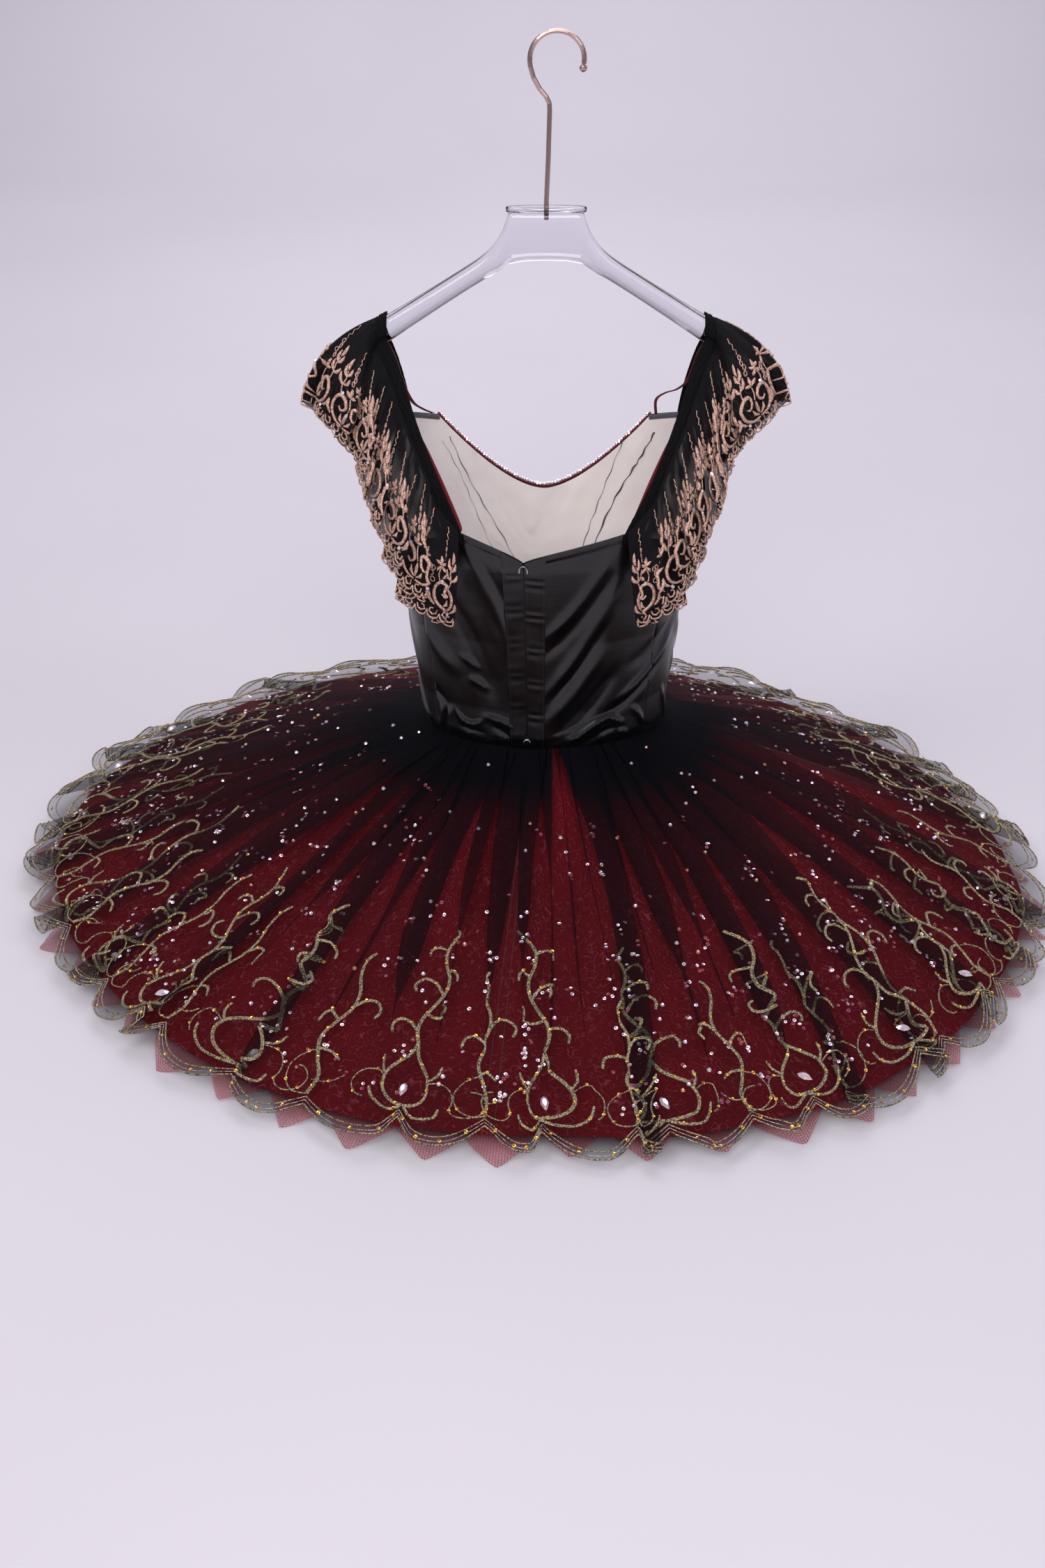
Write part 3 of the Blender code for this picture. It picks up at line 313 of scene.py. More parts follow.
# Copper lace, in millimetres along the strip and up from its free edge. Each line is its
# thickness against the cord at the start, middle and end, then its points.
LACE_REPEAT = 46.0
LACE_LINES = (
    (1.2, 1.2, 1.2, ((0, 7), (1.5, 2), (6, 0.6), (10.5, 2), (12, 6), (13.5, 1.5), (18, 0.3),
                     (22, 1.5), (23.5, 5.5), (25, 1.5), (29, 0.3), (33.5, 1.5), (35, 6),
                     (36.5, 2), (41, 0.6), (44.5, 2), (46, 7))),
    (0.9, 1.4, 0.9, ((2, 9), (3.5, 5), (6.5, 4), (9, 6), (8, 9), (5.5, 9.5))),
    (0.9, 1.4, 0.9, ((14, 8.5), (14.5, 5), (18, 3.6), (21, 6), (20, 9), (17, 9.5))),
    (0.9, 1.4, 0.9, ((26, 9), (26, 5), (29.5, 3.6), (32.5, 6), (31, 9), (28.5, 9.5))),
    (0.9, 1.4, 0.9, ((37, 8.5), (38, 5), (41, 4), (44, 6), (43, 9), (40.5, 9.5))),
    (1.4, 2.6, 1.0, ((22, 11), (13, 12), (6, 18), (5, 27), (10, 33), (17, 32), (19, 26),
                     (15, 22), (11.5, 24))),
    (1.4, 2.6, 1.0, ((24, 11), (33, 12), (40, 18), (41, 27), (36, 33), (29, 32), (27, 26),
                     (31, 22), (34.5, 24))),
    (0.7, 2.6, 0.5, ((22, 13), (17.5, 16), (16.5, 20))),
    (0.7, 2.6, 0.5, ((24, 13), (28.5, 16), (29.5, 20))),
    (0.8, 2.6, 0.6, ((23, 14), (22.5, 19), (23, 25))),
    (0.7, 2.4, 0.4, ((6, 13), (1, 17), (0.5, 23))),
    (0.7, 2.4, 0.4, ((40, 13), (45, 17), (45.5, 23))),
    (0.9, 1.0, 0.8, ((23, 26), (24, 31), (23, 37))),
    (0.9, 2.9, 1.1, ((23, 38), (22.8, 42), (23, 46))),
    (0.9, 2.9, 1.1, ((22.4, 38), (19.5, 39.5), (16, 40.5))),
    (0.9, 2.9, 1.1, ((23.6, 38), (26.5, 39.5), (30, 40.5))),
    (0.8, 1.0, 0.7, ((10, 33), (8, 40), (10, 48), (9, 54))),
    (0.6, 2.6, 0.4, ((8.5, 41), (3.5, 43.5), (1, 49))),
    (0.6, 2.6, 0.4, ((9, 42), (14, 44.5), (15.5, 50))),
    (0.6, 2.5, 0.4, ((9.5, 49), (5.5, 52), (4.5, 58))),
    (0.6, 2.5, 0.4, ((9.5, 50), (13.5, 53), (14.5, 59))),
    (0.6, 2.5, 0.3, ((9, 55), (7.5, 60), (9.5, 66))),
    (0.8, 0.9, 0.7, ((36, 33), (38, 39), (35, 45))),
    (0.7, 2.7, 0.5, ((35, 47), (34.6, 51), (35.5, 54.5))),
    (0.7, 2.7, 0.5, ((35, 47), (38.5, 48.6), (42, 49))),
    (0.7, 2.6, 0.5, ((35, 46.5), (38.4, 43.6), (40, 41))),
    (0.7, 2.6, 0.5, ((35, 46.5), (31.6, 44.4), (29.5, 43))),
    (0.7, 2.7, 0.5, ((35, 47), (31, 48.6), (28.5, 51))))
LACE_RINGS = ((22, 50), (24, 54.5), (22.5, 59), (24, 63.5), (44, 33), (46, 37.5), (44.5, 42))
LACE_RING, LACE_RING_CORD, LACE_ZIGZAG_CORD = 2.1, 0.75, 0.55
LACE_ZIGZAG = ((23, 67), (26, 70), (22, 72), (26, 75), (23, 78), (26, 81))
LACE_BORDER = 24            # the scrolls below this are alike, what rises over it varies
LACE_GROWTH = (0.94, 1.10)  # by this much, from one repeat to the next
LACE_STONES = (((34.5, 35.0), (8, 11.5)), ((23, 22.0), (11.5, 35.0)))   # even, odd repeats
LACE_STONE, LACE_STONE_LIFT, LACE_CORD_LIFT = (0.0034, 0.0042), 0.0012, 0.0006
BAND_CUT = 0.016             # the flat width of the gathered band


# ---------------------------------------------------------------- materials
FACTOR, COLOUR_A, COLOUR_B, MIXED = 0, 6, 7, 2      # sockets of a Mix node set to colours


def rgba(hex_colour):
    """A linear colour from an sRGB hex value such as 'aa3344'."""
    channels = [int(hex_colour[i:i + 2], 16) / 255 for i in (0, 2, 4)]
    return (*(c / 12.92 if c <= 0.04045 else ((c + 0.055) / 1.055) ** 2.4
              for c in channels), 1.0)


def shade(colour, share):
    """A darker tone of a linear colour."""
    return (*(share * channel for channel in colour[:3]), 1.0)


def per(size):
    """The scale of a pattern whose grain is this many millimetres across."""
    return 1 / (size * MM)


def add_node(tree, kind, values=None, links=None, **settings):
    """One node with its settings, the values on its sockets and what feeds them."""
    item = tree.nodes.new("ShaderNode" + kind)
    for name, value in settings.items():
        setattr(item, name, value)
    for key, value in (values or {}).items():
        item.inputs[key].default_value = value
    for key, source in (links or {}).items():
        tree.links.new(source, item.inputs[key])
    return item


def new_material(name, base, roughness, place="Object", **sockets):
    """A Principled material, its nodes and the coordinates that its patterns read. The
    sockets are named with underscores for spaces."""
    material = bpy.data.materials.new(name)
    material.use_nodes = True
    tree = material.node_tree
    inputs = tree.nodes["Principled BSDF"].inputs
    inputs["Base Color"].default_value = base
    inputs["Roughness"].default_value = roughness
    for key, value in sockets.items():
        inputs[key.replace("_", " ")].default_value = value
    return material, tree, add_node(tree, "TexCoord").outputs[place]


def feed(tree, **sources):
    """Links what the nodes give to the material's sockets, named in the same way."""
    inputs = tree.nodes["Principled BSDF"].inputs
    for key, source in sources.items():
        tree.links.new(source, inputs[key.replace("_", " ")])


def satin_material(colour):
    # Duchess satin, woven with long floats: a dark face with broad, soft, pearly lights
    # along every fold and a faint slub across.
    material, tree, place_in = new_material(
        "black_duchess_satin", colour, 0.26, Specular_IOR_Level=0.64,
        Sheen_Weight=0.03, Sheen_Roughness=0.35, Sheen_Tint=rgba("8f88a4"), Anisotropic=0.35)
    slub = add_node(tree, "Mapping", {"Scale": (per(16.667), per(16.667), per(1.1111))},
                    {"Vector": place_in})
    threads = add_node(tree, "TexNoise", {"Scale": 1.0, "Detail": 3.0},
                       {"Vector": slub.outputs[0]}).outputs["Fac"]
    cloud = add_node(tree, "TexNoise", {"Scale": per(35.714), "Detail": 2.0}, {"Vector": place_in})
    rough = add_node(tree, "MapRange", {"From Min": 0.35, "From Max": 0.65, "To Min": 0.22,
                                        "To Max": 0.30}, {"Value": cloud.outputs["Fac"]})
    face = add_node(tree, "Mix", {COLOUR_A: shade(colour, 0.5), COLOUR_B: colour},
                    {FACTOR: threads}, data_type="RGBA")
    weave = add_node(tree, "Bump", {"Strength": 0.10, "Distance": 0.0004}, {"Height": threads})
    feed(tree, Roughness=rough.outputs[0], Base_Color=face.outputs[MIXED],
         Normal=weave.outputs[0])
    return material


def lining_material():
    # Cotton drill: matt cream with a fine twill line every 1.7 mm, drawn coarser than
    # the real 0.5 mm so that it shows, and soft, uneven soiling. A wave texture has
    # 10 sqrt(2) / tau diagonal lines to a unit.
    cream = rgba("faf4f1")
    material, tree, place_in = new_material("cream_cotton_drill", cream, 0.88, "UV",
                                            Sheen_Weight=0.15)
    twill = add_node(tree, "TexWave", {"Scale": per(1.6766) * tau / (10 * sqrt(2)),
                                       "Distortion": 0.6, "Detail": 1.0},
                     {"Vector": place_in}, bands_direction="DIAGONAL")
    cloud = add_node(tree, "TexNoise", {"Scale": per(45.455), "Detail": 3.0},
                     {"Vector": place_in})
    face = add_node(tree, "Mix", {COLOUR_A: rgba("e6dcd9"), COLOUR_B: cream},
                    {FACTOR: cloud.outputs["Fac"]}, data_type="RGBA")
    weave = add_node(tree, "Bump", {"Strength": 0.18, "Distance": 0.0003},
                     {"Height": twill.outputs["Fac"]})
    feed(tree, Base_Color=face.outputs[MIXED], Normal=weave.outputs[0])
    return material


def tulle_material(colour, opening):
    # Nylon tulle: a matt, see-through black that darkens where folds lie on each other
    # and is all but solid where it is gathered. Its 1 mm mesh is too fine to show, so it
    # is a faint grain in the see-through share.
    material, tree, place_in = new_material("black_nylon_tulle", colour, 0.8, "UV",
                                            Specular_IOR_Level=0.06)
    apart = add_node(tree, "SeparateXYZ", links={0: place_in})
    gathered = add_node(tree, "MapRange", {"From Min": 0.0, "From Max": 0.10, "To Min": 0.84,
                                           "To Max": 0.42}, {"Value": apart.outputs["Y"]},
                        interpolation_type="SMOOTHSTEP")
    # Below the clasp the two edges of the opening part, and the red shows.
    past = add_node(tree, "Math", {1: opening}, {0: apart.outputs["X"]},
                    operation="SUBTRACT")
    away = add_node(tree, "Math", links={0: past.outputs[0]}, operation="ABSOLUTE")
    lower = add_node(tree, "MapRange", {"From Min": 0.06, "From Max": 0.20, "To Min": 0.45,
                                        "To Max": 1.0}, {"Value": apart.outputs["Y"]})
    closed = add_node(tree, "MapRange", {"From Min": 0.010, "From Max": 0.026, "To Max": 1.0},
                      {"Value": away.outputs[0], "To Min": lower.outputs[0]})
    gathered = add_node(tree, "Math", links={0: gathered.outputs[0], 1: closed.outputs[0]},
                        operation="MULTIPLY")
    grain = add_node(tree, "TexVoronoi", {"Scale": per(1.4286)}, {"Vector": place_in})
    cloud = add_node(tree, "TexNoise", {"Scale": per(111.11), "Detail": 2.0},
                     {"Vector": place_in})
    both = add_node(tree, "Math", operation="MULTIPLY",
                    links={0: grain.outputs["Distance"], 1: cloud.outputs["Fac"]})
    less = add_node(tree, "Math", {1: 0.16}, {0: both.outputs[0]}, operation="MULTIPLY")
    share = add_node(tree, "Math", links={0: gathered.outputs[0], 1: less.outputs[0]},
                     operation="SUBTRACT")
    feed(tree, Alpha=share.outputs[0])
    return material


def sequin_net_material():
    # Burgundy net with vermicelli thread: dull red cloth with thin pale squiggles about
    # 6 mm across that catch the light.
    red = rgba("7c0f1a")
    material, tree, place_in = new_material("burgundy_vermicelli_net", red, 0.55, "UV",
                                            Specular_IOR_Level=0.05)
    field = add_node(tree, "TexNoise", {"Scale": per(10.8696), "Detail": 0.0,
                                        "Distortion": 1.3}, {"Vector": place_in})
    middle = add_node(tree, "Math", {1: 0.5}, {0: field.outputs["Fac"]}, operation="SUBTRACT")
    apart = add_node(tree, "Math", links={0: middle.outputs[0]}, operation="ABSOLUTE")
    thread = add_node(tree, "MapRange", {"From Min": 0.0, "From Max": 0.035, "To Min": 1.0,
                                         "To Max": 0.0}, {"Value": apart.outputs[0]})
    cloud = add_node(tree, "TexNoise", {"Scale": per(71.429), "Detail": 3.0},
                     {"Vector": place_in})
    ground = add_node(tree, "Mix", {COLOUR_A: rgba("5a0a11"), COLOUR_B: red},
                      {FACTOR: cloud.outputs["Fac"]}, data_type="RGBA")
    face = add_node(tree, "Mix", {COLOUR_B: rgba("913c46")},
                    {FACTOR: thread.outputs[0], COLOUR_A: ground.outputs[MIXED]},
                    data_type="RGBA")
    raised = add_node(tree, "Bump", {"Strength": 0.5, "Distance": 0.0006},
                      {"Height": thread.outputs[0]})
    feed(tree, Base_Color=face.outputs[MIXED], Normal=raised.outputs[0])
    return material


def hexagon_net_material(colour):
    # Stiff hexagonal net: threads round open holes. Voronoi cells stand for the knotted
    # mesh, drawn at 2.6 mm so that the holes show.
    material, tree, place_in = new_material("burgundy_hexagon_net", colour, 0.7, "UV",
                                            Specular_IOR_Level=0.3)
    cells = add_node(tree, "TexVoronoi", {"Scale": per(2.6), "Randomness": 0.25},
                     {"Vector": place_in}, feature="DISTANCE_TO_EDGE")
    share = add_node(tree, "MapRange", {"From Min": 0.084, "From Max": 0.14, "To Min": 0.95,
                                        "To Max": 0.10}, {"Value": cells.outputs["Distance"]})
    feed(tree, Alpha=share.outputs[0])
    return material


def lace_net_material():
    # Fine lace ground: black nylon net, nearly solid where it is gathered, smoky grey
    # where it is single.
    material, tree, place_in = new_material("black_lace_ground", rgba("0c0b0e"), 0.8, "UV",
                                            Specular_IOR_Level=0.12)
    apart = add_node(tree, "SeparateXYZ", links={0: place_in})
    share = add_node(tree, "MapRange", {"From Min": 0.018, "From Max": 0.050, "To Min": 1.0,
                                        "To Max": 0.93}, {"Value": apart.outputs["Y"]})
    cloud = add_node(tree, "TexNoise", {"Scale": per(25), "Detail": 1.0}, {"Vector": place_in})
    thin = add_node(tree, "MapRange", {"From Min": 0.45, "From Max": 0.70, "To Min": 1.0,
                                       "To Max": 0.90}, {"Value": cloud.outputs["Fac"]})
    both = add_node(tree, "Math", links={0: thin.outputs[0], 1: share.outputs[0]},
                    operation="MULTIPLY")
    feed(tree, Alpha=both.outputs[0])
    return material


def thread_material(name, dark, light, roughness, metallic, grain):
    # Embroidery yarn laid as cord: a noise lays short stitches of the light colour and of the dark
    # one side by side. In the gold cord the dark one is its black strand; in the copper cord it is
    # painted shade between the stitches.
    material, tree, place_in = new_material(name, light, roughness, Metallic=metallic,
                                            Sheen_Weight=0.2)
    stitches = add_node(tree, "TexNoise", {"Scale": per(grain), "Detail": 1.0},
                        {"Vector": place_in}).outputs["Fac"]
    sharper = add_node(tree, "MapRange", {"From Min": 0.40, "From Max": 0.60},
                       {"Value": stitches})
    face = add_node(tree, "Mix", {COLOUR_A: dark, COLOUR_B: light},
                    {FACTOR: sharper.outputs[0]}, data_type="RGBA")
    twist = add_node(tree, "Bump", {"Strength": 0.6, "Distance": 0.0005}, {"Height": stitches})
    feed(tree, Base_Color=face.outputs[MIXED], Normal=twist.outputs[0])
    return material


def glint_material(name, base, roughness, metallic, film=0.0, cover=1.0):
    # Moulded sequin or foiled stone: hard, shiny, with each piece a little different.
    material, tree, place_in = new_material(name, rgba(base), roughness, Metallic=metallic,
                                            Thin_Film_Thickness=film, Alpha=cover)
    cells = add_node(tree, "TexVoronoi", {"Scale": per(6.25)}, {"Vector": place_in})
    shift = add_node(tree, "Mix", {FACTOR: 0.35, COLOUR_A: rgba(base)},
                     {COLOUR_B: cells.outputs["Color"]}, data_type="RGBA",
                     blend_type="SOFT_LIGHT")
    feed(tree, Base_Color=shift.outputs[MIXED])
    return material


def plain_weave_material(name, dark, light, roughness, pitch, sheen=0.2, strength=0.4,
                         gloss=0.4):
    # Narrow woven goods such as tape, velvet elastic and cord: matt with a fine rib.
    material, tree, place_in = new_material(name, rgba(light), roughness, Sheen_Weight=sheen,
                                            Specular_IOR_Level=gloss)
    rib = add_node(tree, "TexNoise", {"Scale": per(pitch), "Detail": 2.0},
                   {"Vector": place_in}).outputs["Fac"]
    face = add_node(tree, "Mix", {COLOUR_A: rgba(dark), COLOUR_B: rgba(light)}, {FACTOR: rib},
                    data_type="RGBA")
    raised = add_node(tree, "Bump", {"Strength": strength, "Distance": 0.0005},
                      {"Height": rib})
    feed(tree, Base_Color=face.outputs[MIXED], Normal=raised.outputs[0])
    return material


def acrylic_material():
    # Clear moulded acrylic: polished, so bright lines run along its edges, with the
    # faintest scuffs.
    material, tree, place_in = new_material("clear_moulded_acrylic", rgba("f4f3f8"), 0.02,
                                            IOR=1.49, Transmission_Weight=1.0)
    scuffs = add_node(tree, "TexNoise", {"Scale": per(8.3333), "Detail": 4.0},
                      {"Vector": place_in}).outputs["Fac"]
    rough = add_node(tree, "MapRange", {"From Min": 0.5, "From Max": 0.75, "To Min": 0.015,
                                        "To Max": 0.07}, {"Value": scuffs})
    dents = add_node(tree, "Bump", {"Strength": 0.03, "Distance": 0.001}, {"Height": scuffs})
    feed(tree, Roughness=rough.outputs[0], Normal=dents.outputs[0])
    return material


def wire_material(name, base, roughness):
    # Plated steel wire: bright, with drawing marks that spread the light a little.
    material, tree, place_in = new_material(name, rgba(base), roughness, Metallic=1.0)
    marks = add_node(tree, "TexNoise", {"Scale": per(2.5), "Detail": 3.0},
                     {"Vector": place_in})
    rough = add_node(tree, "MapRange", {"To Min": roughness * 0.7, "To Max": roughness * 1.4},
                     {"Value": marks.outputs["Fac"]})
    feed(tree, Roughness=rough.outputs[0])
    return material


def paper_material(colour):
    # Studio paper: pale and matt, with faint, broad clouds a tenth darker.
    material, tree, place_in = new_material("matt_studio_paper", colour, 0.9,
                                            Specular_IOR_Level=0.1)
    cloud = add_node(tree, "TexNoise", {"Scale": per(666.67)}, {"Vector": place_in})
    face = add_node(tree, "Mix", {COLOUR_A: shade(colour, PAPER_CLOUD), COLOUR_B: colour},
                    {FACTOR: cloud.outputs["Fac"]}, data_type="RGBA")
    feed(tree, Base_Color=face.outputs[MIXED])
    return material


# ---------------------------------------------------------------- shapes
def place(x, y, height):
    """A point given from the garment's middle and above the hem plane."""
    return Vector((CENTRE_X + x, y, HEM_Z + height))


def lerp(a, b, t):
    return a + (b - a) * t


def clamp(value, low=0.0, high=1.0):
    return min(max(value, low), high)


def ease(value):
    """From 0 to 1 with a soft start and end."""
    share = clamp(value)
    return share * share * (3 - 2 * share)


def read_table(rows, key):
    """The columns of a table at a value of its first column, by straight steps."""
    if key <= rows[0][0]:
        return rows[0][1:]
    for low, high in zip(rows, rows[1:]):
        if key <= high[0]:
            t = (key - low[0]) / (high[0] - low[0])
            return tuple(lerp(a, b, t) for a, b in zip(low[1:], high[1:]))
    return rows[-1][1:]


def smooth_track(points, steps):
    """Points on a smooth curve through the given ones, steps to each stretch."""
    track = []
    last = len(points) - 1
    for i in range(last):
        before, start = points[max(i - 1, 0)], points[i]
        end, after = points[i + 1], points[min(i + 2, last)]
        for k in range(steps):
            t = k / steps
            track.append(start * (2 * t**3 - 3 * t**2 + 1) + (end - before) * 0.5
                         * (t**3 - 2 * t**2 + t) + end * (3 * t**2 - 2 * t**3)
                         + (after - start) * 0.5 * (t**3 - t**2))
    return track + [points[last]]


class Path:
    """A polyline that is read at a share of its length."""

    def __init__(self, points):
        self.points = points
        self.at = [0.0]
        for a, b in zip(points, points[1:]):
            self.at.append(self.at[-1] + (b - a).length)
        self.length = self.at[-1]

    def find(self, share):
        """The stretch at a share of the length, and how far along it."""
        key = clamp(share) * self.length
        i = clamp(bisect_right(self.at, key) - 1, 0, len(self.points) - 2)
        return i, (key - self.at[i]) / max(self.at[i + 1] - self.at[i], 1e-9)

    def read(self, share):
        i, t = self.find(share)
        return self.points[i].lerp(self.points[i + 1], t)


def cloth_mesh(name, columns, rows, spot, cut, joined=False, flip=False, thickness=0.0):
    """A cloth grid: spot(across, up) gives each point and cut its flat size in metres."""
    build = bmesh.new()
    bmesh.ops.create_grid(build, x_segments=columns, y_segments=rows, size=0.5)
    flat = build.loops.layers.uv.new("cut")
    for face in build.faces:
        for loop in face.loops:
            loop[flat].uv = ((loop.vert.co.x + 0.5) * cut[0], (loop.vert.co.y + 0.5) * cut[1])
    edge = []
    for vert in build.verts:
        across = clamp(vert.co.x + 0.5)
        if joined and min(across, 1 - across) < 1e-6:
            edge.append(vert)
            across = 0.0
        vert.co = spot(across, clamp(vert.co.y + 0.5))
    if joined:
        bmesh.ops.remove_doubles(build, verts=edge, dist=1e-6)
    if flip:
        bmesh.ops.reverse_faces(build, faces=build.faces)
    if thickness:
        bmesh.ops.solidify(build, geom=build.faces[:], thickness=thickness)
    mesh = bpy.data.meshes.new(name)
    build.to_mesh(mesh)
    build.free()
    mesh.shade_smooth()
    return mesh


def show(name, mesh, material, slot, *nodes):
    """The finished piece: it rides on the garment and stands for its solids."""
    mesh.materials.clear()
    mesh.materials.append(material)
    piece = bpy.data.objects.new(name, mesh)
    bpy.context.scene.collection.objects.link(piece)
    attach(piece, "root")
    if nodes:
        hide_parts(*nodes)
    return piece


def dress(nodes, material):
    """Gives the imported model's own nodes a procedural material."""
    for name in nodes:
        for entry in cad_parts[name].material_slots:
            entry.material = material


def cord_mesh(name, paths, radius, resolution=0):
    """Joined cords: each path is a list of (point, share of the radius)."""
    curve = bpy.data.curves.new(name, "CURVE")
    curve.dimensions = "3D"
    curve.bevel_depth = radius
    curve.bevel_resolution = resolution
    curve.use_fill_caps = True
    for path in paths:
        line = curve.splines.new("POLY")
        line.points.add(len(path) - 1)
        for target, (point, share) in zip(line.points, path):
            target.co = (*point, 1.0)
            target.radius = share
    holder = bpy.data.objects.new(name, curve)
    bpy.context.scene.collection.objects.link(holder)
    ready = holder.evaluated_get(bpy.context.evaluated_depsgraph_get())
    mesh = bpy.data.meshes.new_from_object(ready)
    bpy.data.objects.remove(holder)
    bpy.data.curves.remove(curve)
    mesh.shade_smooth()
    return mesh


def copy_mesh(name, shape, spots):
    """One mesh of many copies of a small shape: each spot is its place, axes and size."""
    build, mesh = bmesh.new(), bpy.data.meshes.new(name)
    for middle, stand, size in spots:
        copy = shape.copy()
        copy.transform(Matrix.LocRotScale(middle, stand, Vector((size,) * 3)))
        copy.to_mesh(mesh)
        copy.free()
        build.from_mesh(mesh)
    shape.free()
    build.to_mesh(mesh)
    build.free()
    return mesh


def stamp_mesh(name, shape, spots):
    """The same, with each spot its place, the way it faces, its size and its turn."""
    return copy_mesh(name, shape, [
        (middle, facing.to_track_quat("Z", "Y").to_matrix() @ Matrix.Rotation(turn, 3, "Z"),
         size) for middle, facing, size, turn in spots])


def cut_stone(long=1.0):
    """A flat-backed stone, one unit across, with a table and eight facets."""
    stone = bmesh.new()
    bmesh.ops.create_cone(stone, cap_ends=True, segments=8, radius1=0.5, radius2=0.27,
                          depth=0.36)
    bmesh.ops.translate(stone, verts=stone.verts, vec=(0, 0, 0.18))
    if long != 1.0:
        bmesh.ops.scale(stone, verts=stone.verts, vec=(1, long, 1))
        for vert in stone.verts:
            vert.co.x *= 1 - 0.55 * max(vert.co.y / long, 0.0) / 0.5
    return stone


def ring_sequin():
    """A cupped sequin with its hole, one unit across."""
    disc = bmesh.new()
    bmesh.ops.create_circle(disc, cap_ends=True, segments=7, radius=0.5)
    inner = bmesh.ops.inset_region(disc, faces=disc.faces[:], use_boundary=True,
                                   thickness=0.32, depth=-0.06)
    hole = [face for face in disc.faces if face not in inner["faces"]]
    bmesh.ops.delete(disc, geom=hole, context="FACES_ONLY")
    return disc


# ---------------------------------------------------------------- hanger
def hanger_point(rows, distance, angle, out=0.0):
    """A point round the hanger's rounded section, moved out by a little."""
    top, bottom, half_depth, square = read_table(rows, abs(distance))
    bend = 2 / max(square, 2.0)
    deep = abs(cos(angle)) ** bend * (1 if cos(angle) > 0 else -1)
    tall = abs(sin(angle)) ** bend * (1 if sin(angle) > 0 else -1)
    return place(distance, -(half_depth + out) * deep,
                 (top + bottom) / 2 + ((top - bottom) / 2 + out) * tall)


def arm_point(distance, step, out):
    """A corner of the hanger's solid, or of what lies on it: 0 is its back, 3 its top."""
    return hanger_point(HANGER_ROWS, distance, tau * step / HANGER_SIDES, out)


# ---------------------------------------------------------------- bodice
def bodice_point(angle_deg, height, out=0.0):
    """A point on the bodice's outside, moved out square to its section."""
    half_width, half_depth = read_table(BODICE_ROWS, height)
    angle = radians(angle_deg)
    normal = Vector((cos(angle) / half_width, sin(angle) / half_depth, 0)).normalized()
    return place(half_width * cos(angle), half_depth * sin(angle), height) + normal * out


def bodice_out(angle_deg, height):
    return bodice_point(angle_deg, height, 1.0) - bodice_point(angle_deg, height)


def top_height(angle_deg):
    """Height of the bodice's top edge at an angle."""
    angle = (angle_deg + 180) % 360 - 180
    if BACK_CORNERS[0] <= angle <= BACK_CORNERS[1]:
        corner = BACK_CORNERS[0] if angle < BACK_CENTRE else BACK_CORNERS[1]
        share = (angle - BACK_CENTRE) / (corner - BACK_CENTRE)
        return lerp(BACK_V, BACK_CORNER, share ** BACK_CURVE)
    if FRONT_CORNERS[0] <= angle <= FRONT_CORNERS[1]:
        share = abs(cos(radians(angle))) / cos(radians(FRONT_CORNERS[0]))
        return lerp(FRONT_V, FRONT_CORNER, share ** FRONT_CURVE)
    if FRONT_OUTER[0] <= angle <= FRONT_OUTER[1]:
        near = FRONT_CORNERS[0] if angle < 90 else FRONT_CORNERS[1]
        far = FRONT_OUTER[0] if angle < 90 else FRONT_OUTER[1]
        return lerp(FRONT_CORNER, FRONT_OUTER_TOP, (angle - near) / (far - near))
    if abs(angle) < 90:
        share = (angle - BACK_CORNERS[1]) / (FRONT_OUTER[0] - BACK_CORNERS[1])
    else:
        share = ((BACK_CORNERS[0] - angle) % 360) / (BACK_CORNERS[0] + 360 - FRONT_OUTER[1])
    return lerp(BACK_CORNER, FRONT_OUTER_TOP, share) - ARMHOLE_DIP * sin(pi * share)


def panel_cut(first, last):
    """A panel's flat width, its longest length and its flat area."""
    angles = [lerp(first, last, k / 12) for k in range(13)]
    points = [bodice_point(a, 0.32) for a in angles]
    width = sum((b - a).length for a, b in zip(points, points[1:]))
    falls = [top_height(a) - WAIST for a in angles]
    return width, max(falls), width * sum(falls) / len(falls)


def fold_relief(folds, angle_deg, height):
    """How far the listed folds lift the cloth at a spot, in metres."""
    rise = 0.0
    x, z = radians(angle_deg) * FOLD_ARM, height
    for start_deg, start_mm, end_deg, end_mm, half_mm, ridge_mm, bow_mm in folds:
        ax, az = radians(start_deg) * FOLD_ARM, start_mm * MM
        bx, bz = radians(end_deg) * FOLD_ARM, end_mm * MM
        length = hypot(bx - ax, bz - az)
        ux, uz = (bx - ax) / length, (bz - az) / length
        share = ((x - ax) * ux + (z - az) * uz) / length
        if not -0.25 < share < 1.25:
            continue
        off = (x - ax) * -uz + (z - az) * ux - bow_mm * MM * 4 * share * (1 - share)
        half = half_mm * MM
        if abs(off) > 3 * half:
            continue
        ends = ease((0.25 + min(share, 1 - share)) / 0.5)
        rise += ridge_mm * MM * exp(-(off / half) ** 2) * ends
    return rise


# ---------------------------------------------------------------- straps and frills
def mirror_side(point, side):
    """The same point on the right (side 1) or the left (side -1)."""
    return Vector((CENTRE_X + side * (point.x - CENTRE_X), point.y, point.z))


def strip_rows(pairs, side):
    """Rows of a strip in the air: inner edge, outer edge and the way it faces."""
    rows = []
    for inner_edge, outer_edge in pairs:
        a = mirror_side(place(*inner_edge), side)
        b = mirror_side(place(*outer_edge), side)
        rows.append((a, b, Vector((side * 0.45, -0.8 if a.y < 0 else 0.8, 0.35)).normalized()))
    return rows


def arm_rows(edges, side, seat):
    """Rows of a strip that wraps over the hanger's arm, from its back to its front."""
    rows = []
    for step in range(-1, 8):
        a = mirror_side(arm_point(edges[0], step, seat), side)
        b = mirror_side(arm_point(edges[1], step, seat), side)
        away = (mirror_side(arm_point(edges[0], step, seat + 0.001), side) - a).normalized()
        rows.append((a, b, away))
    return rows


